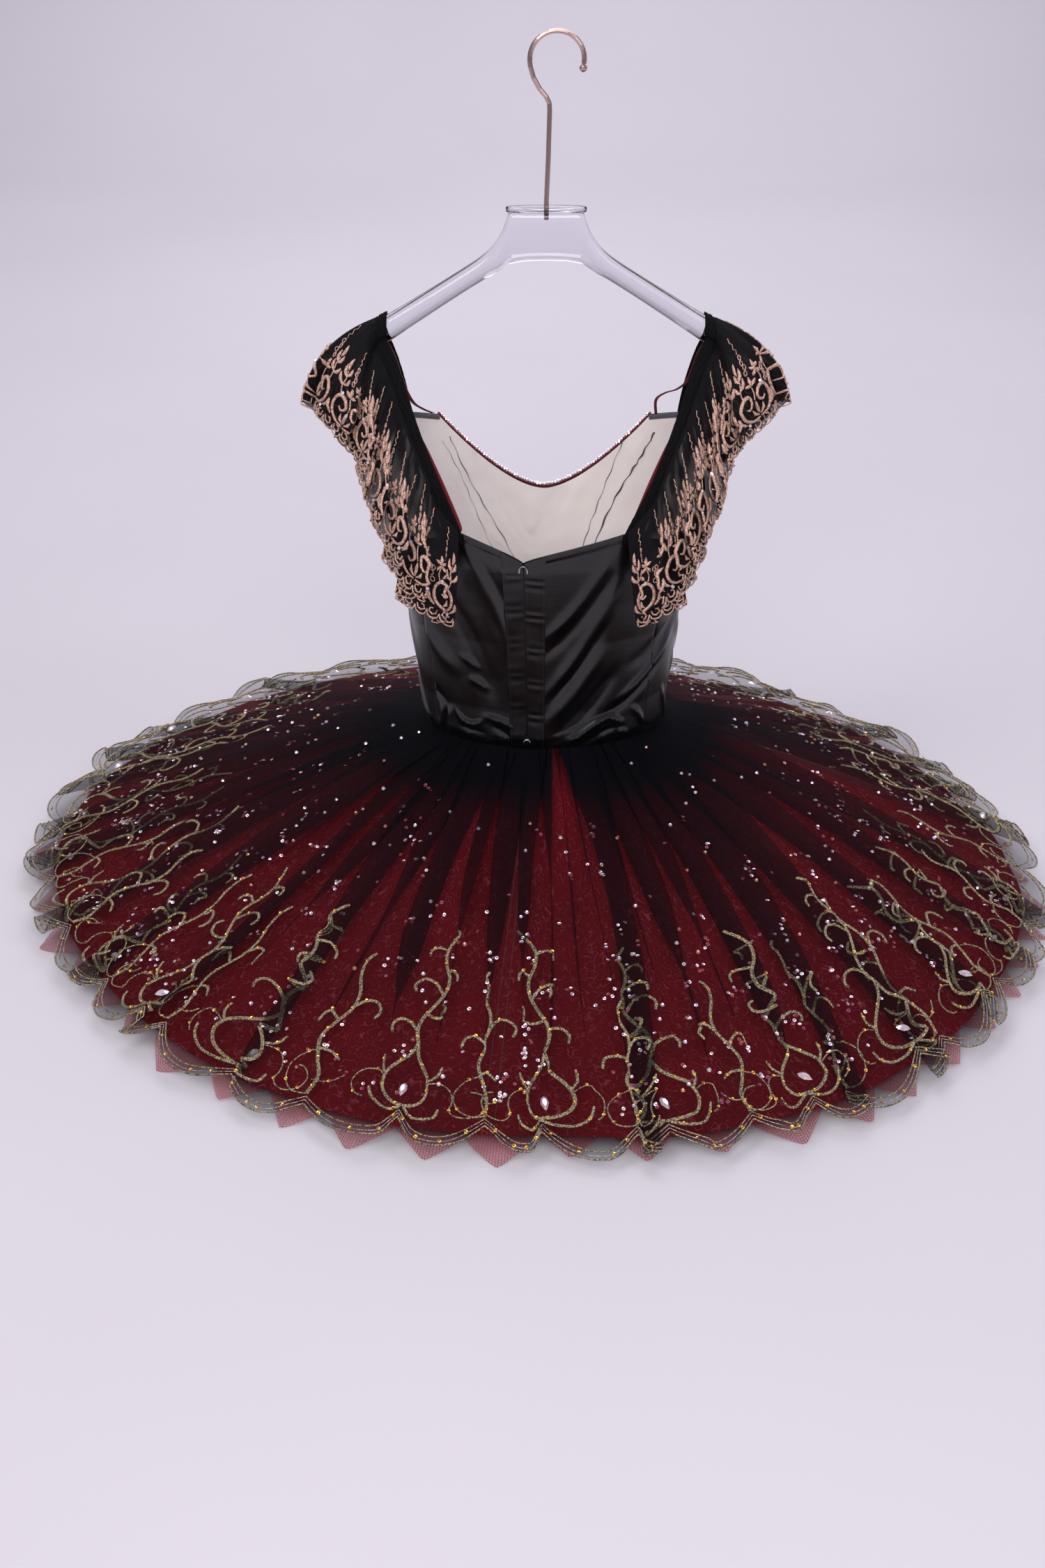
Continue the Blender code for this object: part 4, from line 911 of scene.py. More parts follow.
def band_rows(side):
    """Rows of the shoulder band from its back foot over the arm to its front foot."""
    back_corner = BACK_CORNERS[1] if side > 0 else BACK_CORNERS[0]
    front_corner = FRONT_OUTER[0] if side > 0 else FRONT_OUTER[1]

    def foot(angles, heights):
        middle = sum(angles) / 2
        return [(bodice_point(angles[0], h, SEAT), bodice_point(angles[1], h, SEAT),
                 bodice_out(middle, h)) for h in heights]

    rows = foot((back_corner, back_corner + side * BACK_FOOT_DEG),
                (BACK_CORNER - BAND_FOOT, BACK_CORNER + 0.001))
    rows += strip_rows(BAND_BACK, side) + arm_rows(BAND_ON_ARM, side, BAND_SEAT)
    rows += strip_rows(BAND_FRONT, side)
    rows += foot((front_corner + side * FRONT_FOOT_DEG, front_corner - side * FRONT_FOOT_DEG),
                 (FRONT_OUTER_TOP + 0.001, FRONT_OUTER_TOP - BAND_FOOT))
    return rows


def strap_rows(side):
    """Rows of the narrow strap from the back corner over the arm to the neckline."""
    def thin(points):
        return strip_rows([((x - STRAP_HALF_WIDTH, y, h), (x + STRAP_HALF_WIDTH, y, h))
                           for x, y, h in points], side)

    back_corner = BACK_CORNERS[1] if side > 0 else BACK_CORNERS[0]
    foot_deg = (FRONT_CORNERS[0] if side > 0 else FRONT_CORNERS[1]) - side * STRAP_FOOT_DEG
    step = Vector((STRAP_HALF_WIDTH, 0, 0)) * side
    start = bodice_point(back_corner + side, top_height(back_corner) + STRAP_OVER, -STRAP_IN)
    end = bodice_point(foot_deg, top_height(foot_deg) + STRAP_OVER, -STRAP_IN)
    rows = [(start - step, start + step, Vector((0, -1, 0)))]
    rows += thin(STRAP_BACK)
    rows += arm_rows((STRAP_ON_ARM - STRAP_HALF_WIDTH, STRAP_ON_ARM + STRAP_HALF_WIDTH), side,
                     SEAT)
    rows += thin(STRAP_FRONT_RIGHT if side > 0 else STRAP_FRONT_LEFT)
    return rows + [(end - step, end + step, Vector((0, 1, 0)))]


class Strip:
    """A narrow strip through rows, read at a share of its length and of its width."""

    def __init__(self, rows, steps=5):
        self.inner = Path(smooth_track([row[0] for row in rows], steps))
        self.outer = smooth_track([row[1] for row in rows], steps)
        self.away = smooth_track([row[2] for row in rows], steps)
        self.length = self.inner.length

    def read(self, along, across, out):
        i, t = self.inner.find(along)
        edge = self.inner.points[i].lerp(self.inner.points[i + 1], t)
        far = self.outer[i].lerp(self.outer[i + 1], t)
        away = self.away[i].lerp(self.away[i + 1], t).normalized()
        return edge.lerp(far, across) + away * out


class Pleats:
    """A strip laid in folds along an edge. Each fold is its middle, its lap and the way
    it turns; its cloth runs forward, turns back under itself and runs on."""

    def __init__(self, folds, length, least, closed=False):
        self.folds, self.length, self.closed = folds, length, closed
        self.starts, self.runs, self.cut = [], [], 0.0
        for (start, end), (middle, lap, lean) in zip(self.spans([f[0] for f in folds]), folds):
            first = middle - start if lean > 0 else end - middle
            runs = (first + lap / 2, max(abs(lap), least), end - start - first + lap / 2)
            self.starts.append(self.cut)
            self.runs.append(runs)
            self.cut += sum(runs)

    def spans(self, middles):
        """Where each fold's cloth starts and ends: halfway to its neighbours."""
        if self.closed:
            before = [middles[-1] - self.length] + middles[:-1]
            after = middles[1:] + [middles[0] + self.length]
        else:
            before = [-middles[0]] + middles[:-1]
            after = middles[1:] + [2 * self.length - middles[-1]]
        return [((a + m) / 2, (m + b) / 2) for a, m, b in zip(before, middles, after)]

    def find(self, x):
        """The fold at a distance along the strip, which of its runs, and how far."""
        i = max(bisect_right(self.starts, x) - 1, 0)
        runs = self.runs[i]
        x = clamp(x - self.starts[i], 0.0, sum(runs))
        if self.folds[i][2] < 0:
            x = sum(runs) - x
        if x <= runs[0]:
            return i, 0, x / runs[0]
        if x <= runs[0] + runs[1]:
            return i, 1, (x - runs[0]) / runs[1]
        return i, 2, min((x - runs[0] - runs[1]) / runs[2], 1.0)

    def lay(self, i, run, t, span, middle, lap):
        """Where that cloth lies along the edge, and how far over (1) or under (-1)."""
        lean = self.folds[i][2]
        start, end = span if lean > 0 else span[::-1]
        over, under = middle + lean * lap / 2, middle - lean * lap / 2
        if run == 0:
            return lerp(start, over, t), sin(pi / 2 * t) ** 2
        if run == 1:
            return lerp(over, under, t), cos(pi * t)
        return lerp(under, end, t), -cos(pi / 2 * t) ** 2


class Frill:
    """A gathered lace frill, read at a share of its length and of its fall."""

    def __init__(self, side):
        self.side = side
        rows = band_rows(side)[1:-1]
        self.sewn = Path([b + away * FRILL_OVER - (b - a).normalized() * FRILL_IN
                          for a, b, away in rows])
        self.tuck = (rows[0][0] - rows[0][1]) * 0.72
        self.free = Path(smooth_track([mirror_side(place(*row[:3]), side)
                                       for row in FRILL_ROWS], 6))
        table = RUFFLES_LEFT if side > 0 else RUFFLES_RIGHT
        length = self.free.length
        self.stands = [row[2] * RUFFLE_STAND * MM for row in table]
        self.pleats = Pleats([(share * length, lap * MM, -1) for share, lap, _ in table],
                             length, 0.005)
        self.spans = self.pleats.spans([fold[0] for fold in self.pleats.folds])
        self.repeats = max(round(self.pleats.cut / (LACE_REPEAT * MM)), 1)

    def read(self, along, fall, lift=0.0):
        i, run, t = self.pleats.find(along * self.pleats.cut)
        middle, lap, _ = self.pleats.folds[i]
        gather = min(max(fall - 0.04, 0.0) * 1.5, 1.0) ** 0.9
        spot, over = self.pleats.lay(i, run, t, self.spans[i], middle, lerp(-lap, lap, gather))
        slide = 1.2 * (spot - along * self.pleats.length) * gather
        wave = self.stands[i] * over * gather * lerp(0.6, 1.0, fall)
        sewn, free = self.sewn.read(along), self.free.read(along)
        sewn = sewn + self.tuck * max(1 - along / 0.07, 0.0)
        track = self.free.read(along + 0.03) - self.free.read(along - 0.03)
        normal = self.side * (free - sewn).cross(track).normalized()
        level = Vector((track.x, track.y, 0.2 * track.z)).normalized()
        row = min(int(along * (len(FRILL_ROWS) - 1)), len(FRILL_ROWS) - 2)
        bulge = lerp(FRILL_ROWS[row][3], FRILL_ROWS[row + 1][3],
                     along * (len(FRILL_ROWS) - 1) - row)
        out = 4 * fall * (1 - fall) * bulge + wave + 0.002 * fall
        return sewn.lerp(free, fall) + level * slide + normal * (out + lift)

    def notch(self, along):
        """How far the scalloped edge is cut back at a share of the length."""
        bow = abs(sin(pi * along * self.repeats * 3))
        return LACE_NOTCH / LACE_FALL * (1 - bow ** 0.6)


# ---------------------------------------------------------------- skirt
def hem_reach(angle):
    """Smooth outward reach of the hem at an angle in radians."""
    spot = (degrees(angle) % 360) / 15
    index = int(spot)
    t = (1 - cos(pi * (spot - index))) / 2
    return lerp(HEM_REACH[index % 24], HEM_REACH[(index + 1) % 24], t)


def skirt_point(angle, share, reach, drop=(0.0, 0.0, 0.0), lift=0.0):
    """A point of a skirt layer, from the waist (0) to its own hem (1)."""
    waist_x, waist_y = WAIST_HALF
    x = lerp(waist_x * cos(angle), reach * cos(angle), share)
    y = lerp(waist_y * sin(angle), reach * sin(angle), share)
    heading, radius = atan2(y, x), hypot(x, y)
    start = 1 / hypot(cos(heading) / waist_x, sin(heading) / waist_y)
    along = clamp((radius - start) / (hem_reach(heading) - start))
    at_waist, at_hem, between = drop
    height = lerp(WAIST_SEAM, OVERLAY_HEM, along ** SKIRT_FALL)
    height -= lerp(at_waist, at_hem, along) + between * sin(pi * along)
    return place(x, y, height + lift)


class Tulle:
    """The pleated overlay: a straight strip of border tulle, pleated into the waist."""

    def __init__(self, scallops):
        self.scallops = scallops
        folds = [(radians(heading) * HEM_RADIUS,
                  lap * MM if opens > OPENS_NEVER else -PLEAT_BACK, lean)
                 for heading, lap, opens, _, lean in TULLE_FOLDS]
        self.pleats = Pleats(folds, tau * HEM_RADIUS, PLEAT_BACK, closed=True)
        self.cut = self.pleats.cut

    def bow(self, x):
        """How far the scalloped edge reaches past its cusps, in metres."""
        return SCALLOP_DEPTH * sin(pi * ((x / self.cut * self.scallops) % 1.0))

    def read(self, x, up, lift=0.0):
        """A point of the flat strip: along its edge and up from its cusps, in metres."""
        share = 1 - up / FALL_LENGTH
        i, run, t = self.pleats.find(x % self.cut)
        count = len(TULLE_FOLDS)
        middles = []
        for j in (i - 1, i, i + 1):
            heading, _, _, drift, _ = TULLE_FOLDS[j % count]
            wobble = 0.5 * sin(5 * share + 2.4 * (j % count))
            middles.append(radians(heading + 360 * (j // count) + drift * (share - 0.5)
                                   + wobble))
        span = (middles[0] + middles[1]) / 2, (middles[1] + middles[2]) / 2
        _, lap, opens, _, _ = TULLE_FOLDS[i]
        radius = lerp(WAIST_RADIUS, HEM_RADIUS, share)
        # The lap is widest where the fold is shut and uneven down its length; where it has
        # opened, a thin crease is left.
        shut = ease((opens - share) / OPENS_OVER)
        spare = 0.55 * (span[1] - span[0]) * max(HEM_RADIUS - radius, 0.0) / 2
        ragged = 1 + 0.16 * sin(9 * share + 1.7 * i)
        thin = CREASE * (1 + 0.5 * sin(8 * share + 2.3 * i))
        past = clamp((share - CREASE_ENDS) / (1 - CREASE_ENDS))
        thin = lerp(thin, -PLEAT_BACK, past ** 2)
        lap = lerp(thin, lap * MM * ragged + spare, shut)
        angle, over = self.pleats.lay(i, run, t, span, middles[1], lap / radius)
        # The folded cloth stands up, the rest waves a little and the hem flutters.
        rise = min(max(lap, 0.0) * 0.35, 0.0052) * min(share * 4, 1.0)
        wave = (0.0010 * sin(7 * angle + 1.0) + 0.0012 * sin(13 * angle)) * share
        flutter = 0.0030 * (1 + sin(11 * angle + 2)) + 0.0018 * (1 + sin(26 * angle))
        wave += flutter * min(share, 1.02) ** 7
        lift += rise * over * (1.0 if over > 0 else 0.5) + wave
        return skirt_point(angle, share, hem_reach(angle) + CUSP_REACH, lift=lift)


# ---------------------------------------------------------------- settings
class StageSettings(PropertyGroup):
    """Floor, backdrop and light."""

    floor: FloatVectorProperty(name="Floor colour", description="Colour of the plain floor",
                               subtype="COLOR", size=3, default=rgba("d2d0d6")[:3])
    light: FloatProperty(name="Light", description="Strength of the soft light above",
                         default=25.0, min=0.0, unit="POWER")
    lens: FloatProperty(name="Lens", description="Focal length in millimetres",
                        default=50.0, min=10.0)


class BodiceSettings(PropertyGroup):
    """Satin, lining and closing."""

    satin: FloatVectorProperty(name="Satin", description="Colour of the satin",
                               subtype="COLOR", size=3, default=rgba("060608")[:3])
    satin_wall: FloatProperty(name="Satin wall", description="Thickness of the satin",
                              default=0.0008, min=0.0002, unit="LENGTH")
    stitch: FloatProperty(name="Stitch", description="Length of one stitch and its gap",
                          default=0.0030, min=0.001, unit="LENGTH")
    crystals: IntProperty(name="Crystals", description="Stones along the neckline",
                          default=84, min=0)


class LaceSettings(PropertyGroup):
    """Shoulder bands, straps and frills."""

    # The copper thread in the light; its painted shade is a fixed darker tone mixed in with it.
    copper: FloatVectorProperty(name="Copper", description="Colour of the lace's thread",
                                subtype="COLOR", size=3, default=rgba("e8bfab")[:3])
    cord: FloatProperty(name="Copper cord", description="Radius of the embroidered cord",
                        default=0.00075, min=0.0002, unit="LENGTH")


class SkirtSettings(PropertyGroup):
    """Tulle, sequin layer, net and their trim."""

    tulle: FloatVectorProperty(name="Tulle", description="Colour of the tulle",
                               subtype="COLOR", size=3, default=rgba("0a0b10")[:3])
    net: FloatVectorProperty(name="Net", description="Colour of the pointed net",
                             subtype="COLOR", size=3, default=rgba("a32a3e")[:3])
    gold: FloatVectorProperty(name="Gold", description="Colour of the gold in the cords",
                              subtype="COLOR", size=3, default=rgba("ab9d74")[:3])
    scallops: IntProperty(name="Scallops", description="Scallops along the tulle's hem",
                          default=52, min=6)
    cord: FloatProperty(name="Gold cord", description="Radius of the embroidered cord",
                        default=0.0009, min=0.0002, unit="LENGTH")
    sequins: IntProperty(name="Sequins", description="Loose sequins on the skirt",
                         default=2000, min=0)
    stones: IntProperty(name="Stones", description="Round stones on the skirt",
                        default=260, min=0)


# ---------------------------------------------------------------- operators
class TUTU_OT_stage(Operator):
    """Set the camera, the plain pale floor and the soft studio light"""
    bl_idname = "tutu.stage"
    bl_label = "Stage"

    def execute(self, context):
        settings = context.scene.tutu_stage
        camera_data = bpy.data.cameras.new("camera")
        camera_data.lens = settings.lens
        camera_data.sensor_fit = "VERTICAL"
        camera_data.sensor_height = SENSOR_HEIGHT
        camera_data.clip_end = 20.0
        camera = bpy.data.objects.new("camera", camera_data)
        camera.location = CAMERA_SPOT
        camera.rotation_euler = (radians(90 - CAMERA_DOWN_DEG), 0, 0)
        context.scene.collection.objects.link(camera)
        context.scene.camera = camera

        profile = [(FLOOR_FRONT, HEM_Z), (FLOOR_BACK, HEM_Z)]
        profile += [(FLOOR_BACK + FLOOR_BEND * sin(a), HEM_Z + FLOOR_BEND * (1 - cos(a)))
                    for a in (radians(9 * k) for k in range(1, 11))]
        profile.append((FLOOR_BACK + FLOOR_BEND, WALL_TOP))
        line = Path([Vector((0, y, z)) for y, z in profile])

        def floor_spot(across, up):
            aside = lerp(-FLOOR_HALF_WIDTH, FLOOR_HALF_WIDTH, across)
            return line.read(up) + Vector((aside, 0, 0))

        mesh = cloth_mesh("studio_floor", 2, 120, floor_spot,
                          (2 * FLOOR_HALF_WIDTH, line.length))
        mesh.materials.append(paper_material((*settings.floor, 1.0)))
        floor = bpy.data.objects.new("studio_floor", mesh)
        context.scene.collection.objects.link(floor)

        for name, spot, aim, size, power, colour in LAMPS:
            lamp = bpy.data.lights.new(name, "AREA")
            lamp.size = size
            lamp.energy = settings.light * power
            lamp.color = rgba(colour)[:3]
            holder = bpy.data.objects.new(name, lamp)
            holder.location = spot
            holder.rotation_euler = (Vector(aim) - Vector(spot)).to_track_quat(
                "-Z", "Y").to_euler()
            context.scene.collection.objects.link(holder)
        world = bpy.data.worlds.new("soft_room")
        world.use_nodes = True
        background = world.node_tree.nodes["Background"]
        background.inputs["Color"].default_value = rgba(ROOM_COLOUR)
        background.inputs["Strength"].default_value = ROOM_LIGHT
        context.scene.world = world
        context.scene.view_settings.view_transform = "Standard"
        return {"FINISHED"}


class TUTU_OT_hanger(Operator):
    """Mould the clear hanger and plate its hook"""
    bl_idname = "tutu.hanger"
    bl_label = "Hanger"

    def execute(self, context):
        rows = [Vector(row[:3]) for row in HANGER_ROWS]
        rest = [Vector((*row[3:], 0.0)) for row in HANGER_ROWS]
        fine = [(*a, b.x, b.y) for a, b in zip(smooth_track(rows, 5), smooth_track(rest, 5))]
        reach = fine[-1][0]

        def spot(across, up):
            return hanger_point(fine, reach * (2 * up - 1), tau * across)

        mesh = cloth_mesh("moulded_hanger", 40, 150, spot, (0.06, 0.4), joined=True)
        body = bmesh.new()
        body.from_mesh(mesh)
        bmesh.ops.holes_fill(body, edges=body.edges, sides=0)
        bmesh.ops.recalc_face_normals(body, faces=body.faces)
        body.to_mesh(mesh)
        body.free()
        mesh.shade_smooth()
        acrylic = acrylic_material()
        show("moulded_hanger", mesh, acrylic, "acrylic", "hanger_body")

        half_width, half_depth, bottom, top = RIM
        rim = bmesh.new()
        bmesh.ops.create_cone(rim, cap_ends=True, segments=64, radius1=1.0, radius2=1.0,
                              depth=top - bottom)
        bmesh.ops.scale(rim, verts=rim.verts, vec=(half_width, half_depth, 1.0))
        bmesh.ops.translate(rim, verts=rim.verts, vec=place(0, 0, (top + bottom) / 2))
        level = [edge for edge in rim.edges
                 if abs(edge.verts[0].co.z - edge.verts[1].co.z) < 1e-6]
        bmesh.ops.bevel(rim, geom=level, offset=RIM_ROUND, segments=3, profile=0.5,
                        affect="EDGES", material=-1)
        rim_mesh = bpy.data.meshes.new("hanger_rim")
        rim.to_mesh(rim_mesh)
        rim.free()
        rim_mesh.shade_smooth()
        show("hanger_rim", rim_mesh, acrylic, "acrylic")

        dress(("hanger_hook", "hanger_hook_ball"),
              wire_material("rose_plated_wire", "c9aea6", 0.22))
        return {"FINISHED"}


class TUTU_OT_bodice(Operator):
    """Sew the satin panels, their lining and the closing down the back"""
    bl_idname = "tutu.bodice"
    bl_label = "Bodice"

    def execute(self, context):
        settings = context.scene.tutu_bodice
        satin, lining = satin_material((*settings.satin, 1.0)), lining_material()

        def satin_spot(first, last):
            def spot(across, up):
                angle = lerp(first, last, across)
                top = top_height(angle)
                height = lerp(WAIST, top, up)
                edge = top - height
                # The folds die out at the waist seam and below the top edge.
                out = fold_relief(SATIN_FOLDS, angle, height) * min(up / FOLDS_FADE[0], 1.0)
                out *= min(edge / FOLDS_FADE[1], 1.0)
                if edge < TOP_TURN:
                    out += TURN_LIFT
                out -= TURN_GROOVE * exp(-((edge - TOP_TURN) / TURN_HALF) ** 2)
                seam = min(across, 1 - across) * radians(last - first) * SEAM_ARM
                out -= SEAM_GROOVE * exp(-(seam / SEAM_HALF) ** 2)
                return bodice_point(angle, height, clamp(out, *FOLD_LIMITS))
            return spot

        for name, first, last in PANELS:
            width, length, area = panel_cut(first, last)
            mesh = cloth_mesh("satin_" + name, int(width / 0.0021), 104,
                              satin_spot(first, last), (width, length),
                              thickness=settings.satin_wall)
            piece = show("satin_" + name, mesh, satin, "satin", "bodice_" + name)
            if name in UNLINED:
                continue

            def lining_spot(across, up, first=first, last=last):
                angle = lerp(first, last, across)
                height = lerp(WAIST, top_height(angle) - 0.001, up)
                out = fold_relief(LINING_FOLDS, angle, height) * min((1 - up) / 0.06, 1.0)
                out += 0.0004 * noise.noise(Vector((angle * 0.2, height * 60, 3.0)))
                return bodice_point(angle, height, -SATIN_DEEP - 0.0004 - max(out, -0.0004))

            mesh = cloth_mesh("lining_" + name, int(width / 0.002), 110, lining_spot,
                              (width, length))
            piece = show("drill_" + name, mesh, lining, "lining", "lining_" + name)
        self.closing(satin)
        self.neckline(settings)
        self.stitches(settings)
        self.seam_edges()
        self.bindings()
        return {"FINISHED"}

    def closing(self, satin):
        """The zip's tape and teeth behind two turned plackets, and the clasps' plating."""
        tape = plain_weave_material("black_zip_tape", "0c0b0d", "1a191c", 0.8, 0.9)

        def tape_spot(across, up):
            angle = BACK_CENTRE + lerp(-TAPE_HALF_DEG, TAPE_HALF_DEG, across)
            return bodice_point(angle, lerp(WAIST, BACK_V - 0.002, up), -0.0024)

        mesh = cloth_mesh("zip_tape", 8, 40, tape_spot, TAPE_CUT)
        piece = show("woven_zip_tape", mesh, tape, "zip_tape", "zip_tape")
        for word, side, shift in (("left", -1, 0.3), ("right", 1, 1.7)):
            def spot(across, up, side=side, shift=shift):
                share = across if side > 0 else 1 - across
                angle = BACK_CENTRE + lerp(side * 0.12, side * PLACKET_DEG, share)
                top = top_height(angle) - 0.0012
                height = lerp(WAIST, top, up)
                pucker = sin(height * 420 + 1.6 * share + shift + 2.6 * sin(height * 170 + shift))
                pucker *= 0.35 + 0.65 * sin(height * 83 + 2 * shift) ** 2
                lean = sin(pi * clamp(share))
                out = 0.0011 + 0.00013 * pucker * (0.35 + 0.65 * lean)
                out += 0.0009 * lean ** 0.5 - 0.0004 * exp(-((share - 0.86) / 0.06) ** 2)
                return bodice_point(angle, height, out)

            mesh = cloth_mesh("turned_placket_" + word, 18, 220, spot, PLACKET_CUT,
                              thickness=TURNED_WALL)
            piece = show("turned_placket_" + word, mesh, satin, "satin", "placket_" + word)
        dress(("clasp_top", "clasp_waist"), wire_material("nickel_plated_hook", "c8c8ce", 0.2))

        teeth = bmesh.new()
        bmesh.ops.create_cube(teeth, size=1.0)
        bmesh.ops.scale(teeth, verts=teeth.verts, vec=TOOTH)
        spots = []
        height = WAIST + 0.004
        while height < BACK_V - 0.004:
            spots.append((bodice_point(BACK_CENTRE, height, 0.0002),
                          Vector((0, 0, 1)), 1.0, 0.0))
            height += TOOTH_PITCH
        tooth = plain_weave_material("black_moulded_teeth", "0a0a0c", "232226", 0.35, 2.0)
        show("zip_teeth", stamp_mesh("zip_teeth", teeth, spots), tooth, "zip_tape")

    def neckline(self, settings):
        """The corded edge of the front neckline and its crystals."""
        burgundy = plain_weave_material("burgundy_satin_cord", "5a0d1a", "8f1c30", 0.45, 1.2)
        low, high = FRONT_CORNERS
        route = []
        for k in range(121):
            angle = lerp(low, high, k / 120)
            route.append((bodice_point(angle, top_height(angle) + 0.0014, -0.0010), 1.0))
        show("corded_neckline", cord_mesh("corded_neckline", [route], PIPING_RADIUS, 2),
             burgundy, "piping", "neckline_piping")

        draw = random.Random(11)
        spots = []
        for k in range(settings.crystals):
            share = (k + 0.5) / settings.crystals
            angle = lerp(low + 1.0, high - 1.0, share)
            size = CRYSTALS[0] if k % 4 else CRYSTALS[1]
            top = bodice_point(angle, top_height(angle) + 0.0032, -0.0012)
            facing = (bodice_out(angle, FRONT_V) * -0.3 + Vector((0, 0, 1))).normalized()
            facing += Vector([draw.uniform(-0.2, 0.2) for _ in range(3)])
            spots.append((top, facing, size, draw.uniform(0, tau)))
        clear = glint_material("foiled_crystal", "f0eef4", 0.06, 0.55, 320.0)
        show("neckline_crystals", stamp_mesh("neckline_crystals", cut_stone(), spots), clear,
             "piping")

    def stitches(self, settings):
        """Black stitches along the back's top edge and beside the closing."""
        stitch = bmesh.new()
        bmesh.ops.create_icosphere(stitch, subdivisions=1, radius=0.5)
        bmesh.ops.scale(stitch, verts=stitch.verts, vec=(1.0, *STITCH_THICK))
        spots = []

        def sew(line):
            path = Path(line)
            count = int(path.length / settings.stitch)
            for k in range(count):
                here, there = path.read((k + 0.2) / count), path.read((k + 0.8) / count)
                run = there - here
                middle = (here + there) / 2
                away = Vector((middle.x - CENTRE_X, middle.y, 0)).normalized()
                side = away.cross(run)
                basis = Matrix((run.normalized(), side.normalized(), away)).transposed()
                spots.append((middle, basis, run.length))

        for first, last in STITCHED_TOPS:
            sew([bodice_point(lerp(first, last, k / 30),
                              top_height(lerp(first, last, k / 30)) - TOP_TURN, -0.0001)
                 for k in range(31)])
        for angle in (BACK_CENTRE - STITCHED_DEG, BACK_CENTRE + STITCHED_DEG):
            sew([bodice_point(angle, lerp(WAIST + 0.004, top_height(angle) - 0.004, k / 60),
                              0.0017) for k in range(61)])
        thread = plain_weave_material("black_sewing_thread", "141317", "2c2a30", 0.5, 1.0)
        show("bodice_stitches", copy_mesh("bodice_stitches", stitch, spots), thread, "satin")

    def seam_edges(self):
        """The dark edges of the satin that show through the lining's seams."""
        seam_black = plain_weave_material("satin_seam_edge", "2a2a30", "5d5f68", 0.5, 2.0)
        paths = []
        for index, (wide, line) in enumerate(LINING_SEAMS):
            track = smooth_track([Vector((a, h * MM, 0)) for a, h in line], 10)
            paths.append([(bodice_point(p.x + 0.25 * sin(k * 1.1), p.y, -SATIN_DEEP - 0.0009
                                        - fold_relief(LINING_FOLDS, p.x, p.y)),
                           wide * (0.7 + 0.3 * sin(k * 0.7 + index)))
                          for k, p in enumerate(track)])
        show("lining_seam_edges", cord_mesh("lining_seam_edges", paths, SEAM_CORD, 1),
             seam_black, "lining")

    def bindings(self):
        """Grey satin binding inside the armholes, from the front corner to the side."""
        grey = plain_weave_material("grey_satin_binding", "34363d", "5f6069", 0.45, 2.0)
        for word in ("right", "left"):
            angles = [lerp(FRONT_CORNERS[0], FRONT_OUTER[0], k / 8) for k in range(9)]
            angles += [FRONT_OUTER[0] - 70.0 * k / 40 for k in range(1, 41)]
            if word == "left":
                angles = [180 - a for a in angles]
            track = Path([bodice_point(a, top_height(a), -0.0030) for a in angles])

            def spot(across, up, angles=angles):
                here = across * (len(angles) - 1)
                i = min(int(here), len(angles) - 2)
                angle = lerp(angles[i], angles[i + 1], here - i)
                height = top_height(angle) - BINDING_DEPTH * (1 - up)
                bulge = 0.0006 * sin(pi * up) + 0.0002 * noise.noise(Vector((angle, 0, 0)))
                return bodice_point(angle, height, -0.0036 - bulge)

            mesh = cloth_mesh("armhole_binding_" + word, 120, 6, spot,
                              (track.length, BINDING_DEPTH), thickness=TURNED_WALL)
            show("armhole_binding_" + word, mesh, grey, "lining")


